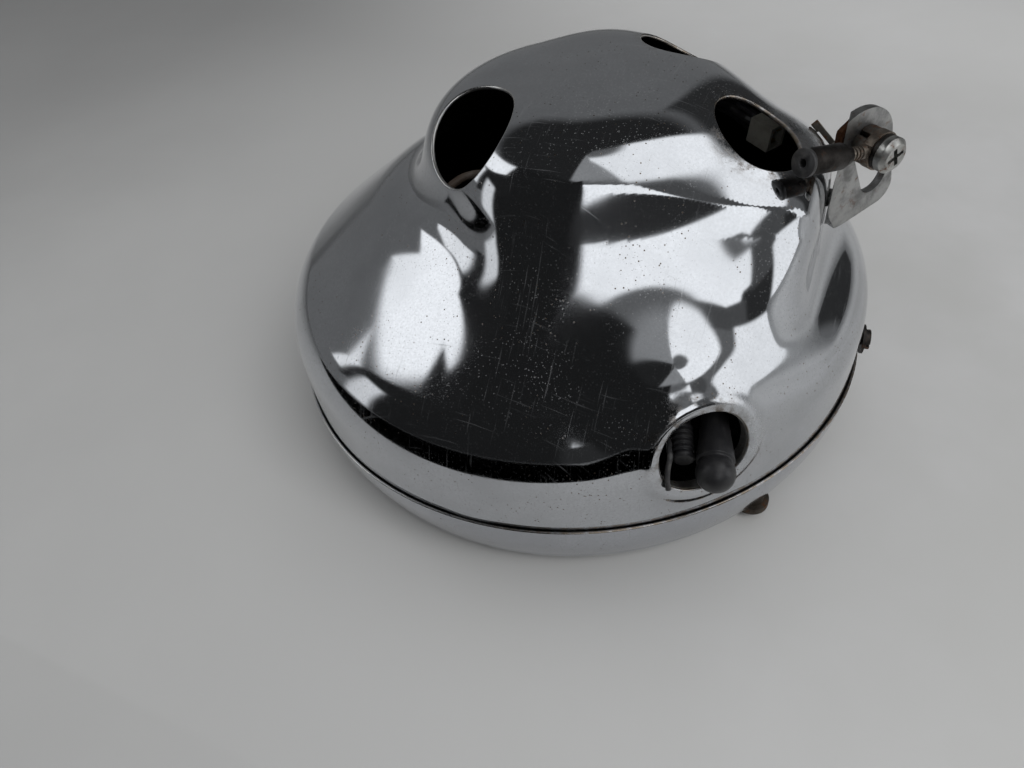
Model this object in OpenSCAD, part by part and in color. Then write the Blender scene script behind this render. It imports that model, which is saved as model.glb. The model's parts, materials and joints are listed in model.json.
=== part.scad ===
// Motorcycle headlight: a deep chromed bucket with a wide neck on top, standing lens down.
// Origin on the lens axis at the front lip of the rim, +Z towards the back of the lamp,
// +X towards the neck's end wall and the adjuster bracket. Heights inside the bucket's own
// modules are counted from the seam between the bucket and the rim.

/* [Bucket] */
// Outer radius of the bucket at the seam
shell_r = 94.8; // [90:0.1:100]
// Thickness of the bucket's sheet metal
shell_wall = 1.2; // [0.8:0.1:1.6]
// Depth of the plain skirt that sits inside the rim
skirt_depth = 2.4; // [1.8:0.1:2.8]
// Height of the upright belt above the seam
belt_h = 16.1; // [12:0.1:20]
// Radius of the bend between belt and slope
belt_round = 23.6; // [18:0.1:28]
// Slope of the bowl above the belt, degrees
bowl_slope = 35.4; // [31:0.1:39]
// Height at which the bowl closes under the crown
bowl_cap_h = 62; // [56:0.5:66]

/* [Crown] */
// Offset of the crown's centre towards the neck
crown_x = 6.2; // [0:0.1:12]
// Radius of the crown
crown_r = 46.6; // [43:0.1:50]
// Height of the crown above the seam
crown_h = 86.7; // [84:0.1:90]
// Rounding of the crown's shoulder
crown_round = 26.9; // [20:0.1:32]

/* [Neck] */
// Radius of the neck's root arch
neck_root_r = 91.8; // [89:0.1:94]
// Depth of the root arch's centre below the seam
neck_root_drop = 9.4; // [8:0.1:11]
// Distance from the lens axis to the neck's end wall
neck_reach = 76.9; // [75:0.1:78]
// Radius of the neck at its end wall
neck_end_r = 40.6; // [39:0.1:42]
// Height of the end wall's centre above the seam
neck_end_h = 32.2; // [31:0.1:33.5]
// Rounding between the neck and its end wall
neck_end_round = 17; // [12:0.5:19]

/* [Boss] */
// Direction of the boss round the lens axis, degrees
boss_turn = -47.5; // [-50:0.5:-45]
// How far inside the seam's radius the boss's centre stands
boss_inset = 16.3; // [14:0.1:19]
// Radius of the boss
boss_r = 21; // [18:0.5:23]
// Height of the boss's centre above the seam
boss_h = 25; // [23:0.5:27]

/* [Cable holes] */
// Long axis of the left cable hole
left_hole_l = 34; // [28:0.5:36]
// Width of the left cable hole
left_hole_w = 27; // [22:0.5:28]
// Long axis of the right cable hole
right_hole_l = 26; // [22:0.5:27]
// Width of the right cable hole
right_hole_w = 22; // [18:0.5:23]
// Diameter of the rear cable hole
rear_hole_d = 25; // [20:0.5:27]
// Diameter of the boss's cable hole
boss_hole_d = 24; // [20:0.5:25]

/* [Rim] */
// Height of the rim from its front lip to the seam
rim_h = 26; // [25:0.1:28]
// Thickness of the rim's sheet metal
rim_wall = 0.9; // [0.7:0.05:1.1]
// Radius of the rim's front corner
rim_corner = 13; // [11:0.5:14]
// Draft of the rim's side, degrees
rim_draft = 15.5; // [14.5:0.1:16.2]
// Radius of the rolled bead at the seam
bead_r = 0.95; // [0.7:0.05:1.1]
// Width of the flat front lip
lip_w = 1.5; // [1.2:0.1:2.5]

/* [Lens and reflector] */
// Room between the seam's radius and the lens's edge
lens_room = 12.8; // [12.3:0.1:13.8]
// Thickness of the glass
lens_t = 3; // [2.5:0.1:3.5]
// Height of the lens's edge above the floor
lens_z = 8.7; // [8.5:0.1:9.5]
// How far the lens bulges
lens_crown = 7.2; // [4:0.1:7.4]
// Thickness of the rubber gasket
gasket_t = 0.9; // [0.6:0.1:1.2]
// Thickness of the reflector's metal
reflector_t = 0.8; // [0.6:0.1:1]
// Focal length of the reflector
focal_l = 27; // [26:0.5:29]
// Inner radius of the reflector's bulb collar
collar_r = 19; // [18:0.5:19.5]
// Height of the bulb collar
collar_h = 6; // [5:0.5:7]
// Thickness of the unit ring's metal
ring_t = 1; // [0.8:0.1:1.2]

/* [Beam adjustment] */
// Direction of the beam screw round the lens axis, degrees
aim_turn = -31.5; // [-35:0.5:-28]
// How far inside the seam's radius the beam screw stands
aim_room = 6.8; // [6.4:0.1:7]
// Shank diameter of the beam screw
aim_d = 3.6; // [3:0.1:3.8]
// Head diameter of the beam screw
aim_head_d = 9; // [7:0.1:9.2]
// Head height of the beam screw
aim_head_h = 2.8; // [2.2:0.1:3.2]
// Length of the beam screw's shank
aim_shank_l = 20; // [18:0.5:22]
// Height of the tilt axis above the floor
tilt_z = 17; // [16.8:0.1:17.6]
// Diameter of the two tilt pivots
pivot_d = 3; // [2.5:0.1:3.4]

/* [Bulb] */
// Radius of the bulb's glass
glass_r = 8; // [7:0.5:9]
// Length of the bulb's glass
glass_l = 30; // [26:0.5:33]
// Radius of the plug on the bulb
plug_r = 11.5; // [10:0.5:12.5]
// Length of the plug on the bulb
plug_l = 16; // [13:0.5:18]

/* [Rim fasteners] */
// Direction of the rim screw round the lens axis, degrees
fastener_turn = 8.3; // [5:0.1:10]
// Shank diameter of the rim screw
rim_screw_d = 4; // [3:0.1:4.2]
// Head diameter of the rim screw
rim_screw_head_d = 6.5; // [6:0.1:8]
// Diameter of the rim screw's washer
rim_washer_d = 9.6; // [8.5:0.1:11]
// How far the rim screw and the rim hook stand out past the seam's radius
proud = 4.8; // [4.4:0.1:5.6]
// Width of the rim hook
hook_w = 8; // [6:0.5:10]

/* [Adjuster bracket] */
// Direction that the bracket's plate faces, degrees
plate_turn = -37; // [-39:1:-35]
// Distance of the plate from the neck's end wall, along X
plate_off = 2.6; // [2.4:0.1:3.6]
// Thickness of the bracket
plate_t = 2.2; // [1.8:0.1:2.4]
// Width of the slot
slot_w = 9; // [8:0.1:9.6]
// Length of the slot between its end centres
slot_travel = 14; // [11:0.1:15]
// Shank diameter of the clamp screw
clamp_d = 5; // [4:0.1:6]
// Head diameter of the clamp screw
clamp_head_d = 9.2; // [8.4:0.1:11]
// Length of the adjuster rod from the screw to the barrel nut's end
rod_l = 27; // [25.5:0.5:29]
// Diameter of the adjuster rod
rod_d = 3.4; // [2.6:0.1:4]
// Diameter of the barrel nut
barrel_d = 6.6; // [6:0.1:8]
// Length of the barrel nut's plain part
barrel_l = 12.5; // [10:0.5:14]
// Rise of the adjuster rod, degrees
rod_rise = 12; // [11.5:0.5:16]

/* [Leads] */
// Diameter of a lead
lead_d = 2.4; // [2:0.1:2.6]
// Radius of the long sleeve's nose
nose_r = 5; // [4.6:0.1:5.2]
// Length of the long sleeve behind its nose
sleeve_l = 26; // [22:0.5:28]
// Radius of the short ribbed sleeve
short_sleeve_r = 3; // [2.4:0.1:3.1]
// Length of the short ribbed sleeve
short_sleeve_l = 18; // [16:0.5:20]

/* [Hidden] */

// General clearances
gap = 0.05;
run_gap = 0.06;
wide_gap = 0.2;
eps = 0.01;

// Bucket
crown_y = -2.7;
crown_draft = 1.4;
crown_ref_h = 60;
neck_root_x = 3.8;
neck_end_y = -3.3;
neck_blend = 19.6;
neck_back_blend = 20;
bowl_cap_blend = 10;
boss_root_reach = 47;
boss_root_r = 24;
boss_root_h = 28;
boss_trim = 1.8;
boss_reach = shell_r - boss_inset;
boss_blend = 12;
shell_blend = 10;
boss_nose = [boss_reach * cos(boss_turn), boss_reach * sin(boss_turn), boss_h];
boss_root = [boss_root_reach * cos(boss_turn), boss_root_reach * sin(boss_turn), boss_root_h];
around = 76;
up = 25;
ray_low = 55;
ray_high = 125;

// Cable holes: centre above the seam, direction it faces, turn of its long axis
left_hole_at = [-13.3, -29.4, 81.1];
left_hole_dir = [-128, 60, 59];
right_hole_at = [57.6, -8.4, 77.8];
right_hole_dir = [-14, 62, -5];
rear_hole_at = [29, 25, 83.5];
rear_hole_dir = [55, 64, 0];
boss_hole_at = [63.2, -70.8, 24.5];
boss_hole_dir = [-50, 13, 0];
cut_depth = 16;
wall_cut = 12;

// Rim
seam_z = rim_h;
skirt_z = seam_z - skirt_depth;
bead_at_r = shell_r + 0.3 + bead_r;
bead_z = seam_z - bead_r + 0.15;
side_out = 0.3;
corner_at_r = bead_at_r + side_out - (bead_z - rim_corner) * tan(rim_draft)
    - rim_corner / cos(rim_draft);
lip_r = corner_at_r - lip_w;
corner_steps = 12;

// Lens, ring and reflector, stacked on the lens's edge
lens_r = shell_r - lens_room;
lens_top = lens_z + lens_t;
reflector_z = lens_top + gasket_t;
dish_r = lens_r - 2.5;
dish_h = dish_r * dish_r / (4 * focal_l);
dish_top = reflector_z + reflector_t + dish_h;
collar_foot = dish_top - collar_r * collar_r / (4 * focal_l) - reflector_t;
collar_z = collar_foot + collar_h;
dish_steps = 20;
lens_dome_r = lens_r - 2;
lens_curve_r = (lens_dome_r * lens_dome_r + lens_crown * lens_crown) / (2 * lens_crown);
ring_in = lens_r + 0.3;
ring_out = ring_in + ring_t;
ring_front = lens_z - gap - ring_t;
ring_flange_r = ring_out + 3.2;
ring_z = reflector_z + reflector_t + 0.1;
ear_w = 9;

// Beam adjustment
aim_arm = shell_r - aim_room;
seat_depth = 8.9;
seat_z = ring_z - seat_depth;
ear_r = 3;
nut_r = 3.2;
seat_t = 0.9;
post_r = 3.7;
post_top = seat_z + 3.8;
spring_wire_r = 0.3;
spring_r = aim_d / 2 + 0.25 + spring_wire_r;
spring_turns = 3.5;
pivot_ear_r = ring_flange_r;
pivot_lug_r = pivot_ear_r + ring_t + 0.4;
lug_t = 1.2;
lug_foot_h = 3.3;
aim_nut_h = 5.2;

// Bulb
base_t = 1.2;
base_barrel_h = 6;
collar_lip = 3.6;
base_r = collar_r + 2.4;
base_z = collar_z + gap;
plug_z = base_z + 2.6;
plug_top = plug_z + plug_l;

// Rim fasteners
proud_r = shell_r + proud;
screw_z = skirt_z + 0.9;
washer_t = 0.8;
washer_r_at = bead_at_r + bead_r + gap;
hook_t = 1.2;
hook_axis_z = seam_z + 4.5;

// Adjuster: a frame on the plate's outer face with X outward, Y along the plate, Z up
plate_x = neck_reach + plate_off;
slot_top = [6, seam_z + 71.3];
slot_lean = 27.1;
clamp_at = slot_top + [-1.1, 0.2];
slot_low = [slot_top[0] + slot_travel * sin(slot_lean), slot_top[1] - slot_travel * cos(slot_lean)];
spring_washer_t = 3.2;
eye_t = 2.6;
eye_r = 5;
front_washer_t = 1.2;
back_washer_t = 1.2;
clamp_nut_t = 2.5;
clamp_head_h = 2.9;
eye_x = spring_washer_t + 2 * gap + eye_t / 2;
head_x = spring_washer_t + eye_t + front_washer_t + 4 * gap;
nut_x = -plate_t - back_washer_t - 2 * gap;
leg_t = 1.8;
leg_x = neck_reach + 0.55;
leg_side = 0.2;
leg_w = 14.2;
leg_z = seam_z + 48.6;
leg_h = 6.2;
leg_inlet = 0.4;
loop_r = 12.3;
loop_low_r = 5;
rivet_z = seam_z + 51.3;
rivet_ys = [7.2, 11.9];
rivet_d = 2.6;
rivet_head_d = 4.6;
rivet_head_h = 0.9;
tab_at = [neck_reach - 5, 17.6, 66.1];
tab_dir = [28.3, 40.6, -44];
tab_l = 8;
tab_w = 3.6;
tab_t = 1.6;
tab_rise = -0.7;
tab_foot_x = -4;
tab_foot_l = 2.4;
tab_foot_z = -1.2;

// Boss hole's sleeves: nose or end, direction round Z and rise
sleeve_at = [66.9, -73.6, 47.2];
sleeve_dir = [104, 4];
short_sleeve_at = [57.9, -69.4, 45];
short_sleeve_dir = [108, 4];
sleeve_bore_l = 6;

// Connector in the right hole
connector_at = [56.1, 20.9, 89.4];
connector_turn = [0, 7.4, -32.3];
connector_size = [8, 6.4, 7.5];
connector_wall = 0.9;

// Leads: points chosen by hand along each run, with both ends set by what they meet
plug_ways = [[6, -4, 1.5, -1.45], [6, 4, 1.5, 1.45], [9, 0, -1.6, 0]];
plug_ways_x = (plug_ways[0][0] + plug_ways[1][0] + plug_ways[2][0]) / 3;
plug_lead_mid = [[9, 1.5, 98.5], [14, 6, 101.5], [22, 12.5, 101.5], [31, 19.5, 99], [39, 24.7, 95.5],
    [45, 26.7, 92.4]];
sleeve_lead_mid = [[58.6, -40.5, 50.5], [55, -32.5, 55], [48.5, -26.5, 63], [40, -22.5, 71.5],
    [30, -20.5, 79.5], [19, -20, 85.5], [8, -21, 89.5], [1, -22.5, 91.6], [-4.5, -23.3, 92.4]];
short_lead_mid = [[48.8, -42.5, 49], [45, -36, 54.5], [39, -30.5, 63], [31, -27.5, 72], [22, -26.5, 79.5],
    [12.5, -26.5, 85], [4, -26.7, 88.8], [-1, -27, 90.4], [-5, -27, 91]];
hanging_run = [[-16, -25.1, 91.8], [-20.5, -27, 90.8], [-24.5, -31, 88], [-26.5, -35, 84],
    [-26, -37.5, 79.5], [-22.5, -38, 76], [-16, -37.2, 74], [-8, -36, 73.4], [-1, -36, 73.4]];
tie_run = [[52.5, -65.6, 46.2], [53.9, -69.5, 49.2], [54.8, -73.2, 51.6], [55.8, -75.8, 51.8],
    [55.8, -77.3, 49.1], [56, -78.3, 46.2], [56.8, -79.5, 43.4]];
joint_at = [-11, -25.15, 91.8];
joint_size = [4.2, 7.4, 5.6];
tie_r = 0.75;

// Smooth minimum and maximum of two distances
function smin(a, b, k) = let (h = max(k - abs(a - b), 0) / k) min(a, b) - h * h * k / 4;
function smax(a, b, k) = -smin(-a, -b, k);

// Distance to the bowl: an upright belt, a bend and a slope
function bowl(r, z) =
    let (
        dr = r - shell_r + belt_round,
        dz = z - belt_h,
        turn = atan2(dz, dr),
        lean = 90 - bowl_slope
    )
    turn < 0 ? r - shell_r
    : turn > lean ? dr * cos(lean) + dz * sin(lean) - belt_round
    : norm([dr, dz]) - belt_round;

// Distance to a cone with a ball at each end
function round_cone(p, a, b, ra, rb) =
    let (
        ba = b - a,
        l2 = ba * ba,
        rr = ra - rb,
        a2 = l2 - rr * rr,
        pa = p - a,
        y = pa * ba,
        z = y - l2,
        q = pa * l2 - ba * y,
        x2 = q * q,
        y2 = y * y * l2,
        z2 = z * z * l2,
        k = sign(rr) * rr * rr * x2
    )
    sign(z) * a2 * z2 > k ? sqrt(x2 + z2) / l2 - rb
    : sign(y) * a2 * y2 < k ? sqrt(x2 + y2) / l2 - ra
    : (sqrt(x2 * a2 / l2) + y * rr) / l2 - ra;

// Distance to the crown
function crown(p) =
    let (
        side = (norm([p[0] - crown_x, p[1] - crown_y])
            - (crown_r - (p[2] - crown_ref_h) * tan(crown_draft))) * cos(crown_draft)
    )
    smax(side, p[2] - crown_h, crown_round);

// Distance to the neck, an arch that narrows towards its end wall
function neck(p) =
    let (
        t = min(max((p[0] - neck_root_x) / (neck_reach - neck_root_x), -0.3), 1.3),
        r = neck_root_r + (neck_end_r - neck_root_r) * t,
        h = -neck_root_drop + (neck_end_h + neck_root_drop) * t,
        arch = norm([p[1] - neck_end_y * t, p[2] - h]) - r,
        rooted = smax(arch, neck_root_x - p[0], neck_back_blend),
        ended = smax(rooted, p[0] - neck_reach, neck_end_round)
    )
    smax(ended, norm([p[0], p[1]]) - shell_r + boss_trim, bowl_cap_blend);

// Distance to the boss
function boss(p) = smax(
    round_cone(p, boss_root, boss_nose, boss_root_r, boss_r),
    norm([p[0], p[1]]) - shell_r + boss_trim,
    bowl_cap_blend
);

// Distance to the whole bucket's outside, in millimetres above the seam
function bucket(p) = smin(
    smax(bowl(norm([p[0], p[1]]), p[2]), p[2] - bowl_cap_h, bowl_cap_blend),
    smin(smin(crown(p), neck(p), neck_blend), boss(p), boss_blend),
    shell_blend
);

// Length along direction d at which the bucket's distance equals depth
function reach(d, depth, lo, hi, n) =
    let (mid = (lo + hi) / 2)
    n == 0 ? mid
    : bucket(d * mid) < depth ? reach(d, depth, mid, hi, n - 1)
    : reach(d, depth, lo, mid, n - 1);

// A direction from its turn and its rise, both in degrees
function heading(turn, rise) = [cos(turn) * cos(rise), sin(turn) * cos(rise), sin(rise)];

// One ring of points on the skin at a given rise; the bottom ring continues as the skirt
function skin_ring(rise, depth) = [
    for (i = [0 : around - 1])
        let (d = heading(360 * i / around, rise))
        d * reach(d, depth, ray_low, ray_high, 13)
];
function skirt_ring(r, z) = [
    for (i = [0 : around - 1])
        [r * cos(360 * i / around), r * sin(360 * i / around), z]
];
function skin(depth) = concat(
    skirt_ring(shell_r + depth, -skirt_depth),
    skirt_ring(shell_r + depth, 0),
    [for (j = [1 : up - 1]) each skin_ring(90 * j / up, depth)],
    [[0, 0, reach([0, 0, 1], depth, ray_low, ray_high, 13)]]
);

// Faces of a skin with count rings of points from index base, closed by one point at the top
function skin_faces(base, count, flip) = concat(
    [for (j = [0 : count - 2], i = [0 : around - 1])
        let (
            a = base + j * around + i,
            b = base + j * around + (i + 1) % around,
            c = a + around,
            d = b + around
        )
        each flip ? [[a, b, d], [a, d, c]] : [[b, a, d], [d, a, c]]],
    [for (i = [0 : around - 1])
        let (
            a = base + (count - 1) * around + i,
            b = base + (count - 1) * around + (i + 1) % around,
            top = base + count * around
        )
        flip ? [a, b, top] : [b, a, top]]
);
function lip_faces(outer, inner) = [
    for (i = [0 : around - 1])
        let (j = (i + 1) % around)
        each [[outer + i, outer + j, inner + j], [outer + i, inner + j, inner + i]]
];

// The bucket's sheet as one closed surface
module bucket_sheet() {
    outer = skin(0);
    inner = skin(-shell_wall);
    n = len(outer);
    polyhedron(
        points = concat(outer, inner),
        faces = concat(skin_faces(0, up + 1, false), skin_faces(n, up + 1, true), lip_faces(0, n)),
        convexity = 6
    );
}

// Places its children at a hole: Z out of the sheet, X along the hole's long axis
module at_hole(at, dir) {
    translate(at)
        rotate([0, 0, dir[0]])
            rotate([0, 90 - dir[1], 0])
                rotate([0, 0, dir[2]])
                    children();
}

// An oval cutter of length l and width w
module oval_cut(l, w) {
    translate([0, 0, -cut_depth / 2])
        linear_extrude(cut_depth)
            polygon([for (a = [0 : 10 : 350]) [l / 2 * cos(a), w / 2 * sin(a)]]);
}

module round_cut(d) {
    translate([0, 0, -cut_depth / 2])
        cylinder(h = cut_depth, d = d, $fn = 64);
}

// Places its children at a turn round the lens axis, a distance from it and a height
module at_turn(turn, r, z) {
    rotate([0, 0, turn])
        translate([r, 0, z])
            children();
}

// A cylinder along X, starting at x and going outward
module rod_x(x, l, d, facets = 48) {
    translate([x, 0, 0])
        rotate([0, 90, 0])
            cylinder(h = l, d = d, $fn = facets);
}

// A tube swept along hand-chosen points, each ring square to the run there
function run_dir(pts, i) =
    let (
        last = len(pts) - 1,
        v = i == 0 ? pts[1] - pts[0] : i == last ? pts[last] - pts[last - 1] : pts[i + 1] - pts[i - 1]
    )
    v / norm(v);
function square_to(v) = let (s = abs(v[2]) < 0.9 ? cross(v, [0, 0, 1]) : cross(v, [1, 0, 0])) s / norm(s);
function carried(v, side) = let (s = side - v * (side * v)) s / norm(s);
function run_sides(pts, i = 0, side = [0, 0, 0], done = []) =
    i == len(pts) ? done
    : let (
        v = run_dir(pts, i),
        s = i == 0 ? square_to(v) : carried(v, side)
    )
    run_sides(pts, i + 1, s, concat(done, [s]));

module swept(pts, r, sides) {
    n = len(pts);
    across = run_sides(pts);
    rings = [
        for (i = [0 : n - 1], k = [0 : sides - 1])
            let (
                v = run_dir(pts, i),
                s = across[i],
                t = cross(v, s),
                a = 360 * k / sides
            )
            pts[i] + r * (cos(a) * s + sin(a) * t)
    ];
    walls = [
        for (i = [0 : n - 2], k = [0 : sides - 1])
            let (
                a = i * sides + k,
                b = i * sides + (k + 1) % sides
            )
            each [[a, a + sides, b + sides], [a, b + sides, b]]
    ];
    start = [for (k = [0 : sides - 1]) k];
    finish = [for (k = [sides - 1 : -1 : 0]) (n - 1) * sides + k];
    polyhedron(points = rings, faces = concat(walls, [start, finish]), convexity = 6);
}

// Bucket with its four cable holes, the slot for the rim hook and the notch for the rim screw
module housing() {
    color([0.75, 0.76, 0.78])
        translate([0, 0, seam_z])
            difference() {
                bucket_sheet();
                at_hole(left_hole_at, left_hole_dir)
                    oval_cut(left_hole_l, left_hole_w);
                at_hole(right_hole_at, right_hole_dir)
                    oval_cut(right_hole_l, right_hole_w);
                at_hole(rear_hole_at, rear_hole_dir)
                    round_cut(rear_hole_d);
                at_hole(boss_hole_at, boss_hole_dir)
                    round_cut(boss_hole_d);
                rotate([0, 0, fastener_turn])
                    notch_cut();
                rotate([0, 0, fastener_turn + 180])
                    hook_slot_cut();
                for (y = rivet_ys)
                    translate([0, y, rivet_z - seam_z])
                        rod_x(neck_reach - wall_cut / 2, wall_cut, rivet_d + 2 * gap);
            }
}

module notch_cut() {
    w = rim_screw_d + 0.8;
    low = skirt_depth + 1;
    top = screw_z - seam_z + w / 2;
    translate([shell_r - wall_cut / 2, -w / 2, -low])
        cube([wall_cut, w, low + top]);
}

module hook_slot_cut() {
    w = hook_w + 1.4;
    translate([shell_r - wall_cut / 2, -w / 2, hook_axis_z - seam_z - 1.4])
        cube([wall_cut, w, 5]);
}

// Rivets that hold the bracket's leg to the neck's end wall
module bracket_rivets() {
    inner = neck_reach - shell_wall - 1.2;
    color([0.6, 0.6, 0.6])
        for (y = rivet_ys)
            translate([0, y, rivet_z]) {
                rod_x(inner, leg_x + leg_t + gap + eps - inner, rivet_d);
                rod_x(inner - 0.2, rivet_head_h, rivet_head_d);
                rod_x(leg_x + leg_t + gap, rivet_head_h, rivet_head_d);
            }
}

// Places its children in the adjuster plate's frame
module on_plate() {
    translate([plate_x, 0, 0])
        rotate([0, 0, plate_turn])
            children();
}

// Outline of the adjuster's plate: a loop that leans away from the bucket
module plate_outline() {
    hull() {
        translate(slot_top - [2.7, 2.7])
            circle(r = loop_r, $fn = 48);
        translate(slot_low + [3.1, -4.5])
            circle(r = loop_low_r, $fn = 32);
        polygon([[-2.6, leg_z + 17], [-1.2, leg_z + 2], [1.2, leg_z - 1.6], [4, leg_z - 1.6]]);
    }
}

// Slotted plate with a leg bent back against the neck's end wall
module bracket() {
    crook = 3.2;
    trim = [20, 60, 50];
    color([0.55, 0.55, 0.55]) {
        difference() {
            on_plate()
                translate([-plate_t, 0, 0])
                    rotate([90, 0, 90])
                        linear_extrude(plate_t)
                            plate_outline();
            on_plate()
                slot_cut();
            translate([leg_x - trim[0] + leg_inlet, -trim[1] / 2, leg_z - 10])
                cube(trim);
        }
        difference() {
            translate([leg_x, leg_side, leg_z])
                linear_extrude(leg_h)
                    polygon([
                        [0, 0], [2, 0], [4, crook], [leg_t, crook], [leg_t, leg_w], [0, leg_w]
                    ]);
            for (y = rivet_ys)
                translate([0, y, rivet_z])
                    rod_x(leg_x - 1, leg_t + 2, rivet_d + 2 * gap);
        }
    }
}

// Cut for the slot; its flats stand a hair inside the round ends
module slot_cut() {
    flat_w = slot_w - 0.08;
    flat_h = plate_t + 1.98;
    translate([-plate_t - 1, 0, 0])
        rotate([90, 0, 90]) {
            for (c = [slot_top, slot_low])
                translate(c)
                    cylinder(h = plate_t + 2, d = slot_w, $fn = 64);
            translate(slot_top)
                rotate([0, 0, slot_lean])
                    translate([-flat_w / 2, -slot_travel, 0.01])
                        cube([flat_w, slot_travel, flat_h]);
        }
}

// Small brown tab on the neck's top, beside the bracket
module stay_tab() {
    color([0.35, 0.3, 0.24])
        translate([0, 0, seam_z])
            at_hole(tab_at, tab_dir)
                union() {
                    translate([-tab_l / 2, -tab_w / 2, tab_rise])
                        cube([tab_l, tab_w, tab_t]);
                    translate([tab_foot_x, -tab_w / 2, tab_foot_z])
                        cube([tab_foot_l, tab_w, tab_rise - tab_foot_z + eps]);
                }
}

// Places its children on the clamp screw's axis, X outward
module on_clamp() {
    on_plate()
        translate([0, clamp_at[0], clamp_at[1]])
            children();
}

// Cross recess of a screw head, cut from the face at x
module cross_cut(x, depth, span, w) {
    for (a = [0, 90])
        translate([x, 0, 0])
            rotate([a + 20, 0, 0])
                translate([-depth, -span / 2, -w / 2])
                    cube([depth + 1, span, w]);
}

module clamp_screw() {
    shank = head_x - nut_x + clamp_nut_t + 1;
    color([0.7, 0.7, 0.68])
        on_clamp()
            difference() {
                union() {
                    rod_x(head_x - shank, shank + eps, clamp_d);
                    translate([head_x, 0, 0])
                        rotate([0, 90, 0]) {
                            cylinder(h = clamp_head_h * 0.6, d = clamp_head_d, $fn = 64);
                            translate([0, 0, clamp_head_h * 0.6])
                                cylinder(h = clamp_head_h * 0.4, d1 = clamp_head_d,
                                    d2 = clamp_head_d * 0.72, $fn = 64);
                        }
                }
                cross_cut(head_x + clamp_head_h, 1.8, 5, 1.1);
            }
}

// A flat ring along X
module ring_x(x, t, d, hole) {
    difference() {
        rod_x(x, t, d);
        rod_x(x - 1, t + 2, hole);
    }
}

module front_washer() {
    color([0.25, 0.24, 0.23])
        on_clamp()
            ring_x(head_x - gap - front_washer_t, front_washer_t, clamp_head_d, clamp_d + 0.4);
}

module spring_washer() {
    color([0.45, 0.44, 0.42])
        on_clamp()
            difference() {
                ring_x(gap, spring_washer_t, clamp_d + 4.6, clamp_d + 0.4);
                rotate([35, 0, 0])
                    translate([-1, -0.6, 0])
                        cube([spring_washer_t + 3, 1.2, 8]);
            }
}

module back_washer() {
    color([0.3, 0.18, 0.14])
        on_clamp()
            ring_x(-plate_t - gap - back_washer_t, back_washer_t, slot_w + 2.4, clamp_d + 0.4);
}

module clamp_nut() {
    color([0.35, 0.25, 0.2])
        on_clamp()
            difference() {
                rod_x(nut_x - clamp_nut_t, clamp_nut_t, 8.6, 6);
                rod_x(nut_x - clamp_nut_t - 1, clamp_nut_t + 2, clamp_d + 2 * gap);
            }
}

// Places its children on the rod's axis: X from the screw towards the barrel nut's end
module on_rod() {
    on_clamp()
        translate([eye_x, 0, 0])
            rotate([0, 0, -90])
                rotate([0, -rod_rise, 0])
                    children();
}

module eye_bolt() {
    neck_start = clamp_head_d / 2 + 0.4;
    color([0.5, 0.48, 0.46])
        difference() {
            union() {
                on_clamp()
                    rod_x(eye_x - eye_t / 2, eye_t, 2 * eye_r);
                on_rod()
                    translate([eye_r - 1.5, -eye_t / 2 + 0.1, -rod_d / 2])
                        cube([neck_start - eye_r + 2, eye_t - 0.2, rod_d]);
                on_rod()
                    difference() {
                        rod_x(neck_start, rod_l - 5 - neck_start, rod_d);
                        for (x = [7.2 : 1.2 : 12])
                            ring_x(x, 0.45, rod_d + 2, rod_d - 0.5);
                    }
            }
            on_clamp()
                rod_x(eye_x - eye_t, 2 * eye_t, clamp_d + 2 * run_gap);
        }
}

module barrel_nut() {
    neck_x = rod_l - barrel_l - 3;
    color([0.36, 0.33, 0.3])
        on_rod()
            difference() {
                union() {
                    rod_x(neck_x + 3, barrel_l - 1.2, barrel_d);
                    translate([neck_x, 0, 0])
                        rotate([0, 90, 0])
                            cylinder(h = 3, d1 = rod_d + 1.4, d2 = barrel_d, $fn = 48);
                }
                rod_x(neck_x - 1, barrel_l + 6, rod_d + 2 * run_gap);
            }
}

// Black end of the barrel nut, with the hole that takes the stay's rod
module barrel_cap() {
    color([0.1, 0.1, 0.1])
        on_rod()
            difference() {
                union() {
                    rod_x(rod_l - 1.2 + gap, 1.2, barrel_d + 0.4);
                    rod_x(rod_l - 4.6, 3.6, rod_d - 2 * gap);
                }
                rod_x(rod_l - 3.4, 4, 2);
            }
}

// Rim's outer radius at a height, and the point of its section at a height or corner angle
function rim_side(z, inset) = [
    corner_at_r + (rim_corner - inset) / cos(rim_draft) + (z - rim_corner) * tan(rim_draft), z
];
function rim_bend(a, inset) = [
    corner_at_r + (rim_corner - inset) * cos(a), rim_corner - (rim_corner - inset) * sin(a)
];
function rim_arc(inset, from, to) = [
    for (i = [0 : corner_steps]) rim_bend(from + (to - from) * i / corner_steps, inset)
];

module rim_section() {
    polygon(concat(
        [rim_side(bead_z, 0)],
        rim_arc(0, rim_draft, 90),
        [[lip_r, 0], [lip_r, rim_wall]],
        rim_arc(rim_wall, 90, rim_draft),
        [rim_side(bead_z, rim_wall)]
    ));
}

// Everything inside the middle of the rim's wall, up to the bead
module inside_rim() {
    inset = rim_wall / 2;
    rotate_extrude($fn = 120)
        polygon(concat(
            [[0, bead_z], rim_side(bead_z, inset)],
            rim_arc(inset, rim_draft, 90),
            [[0, inset]]
        ));
}

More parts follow.
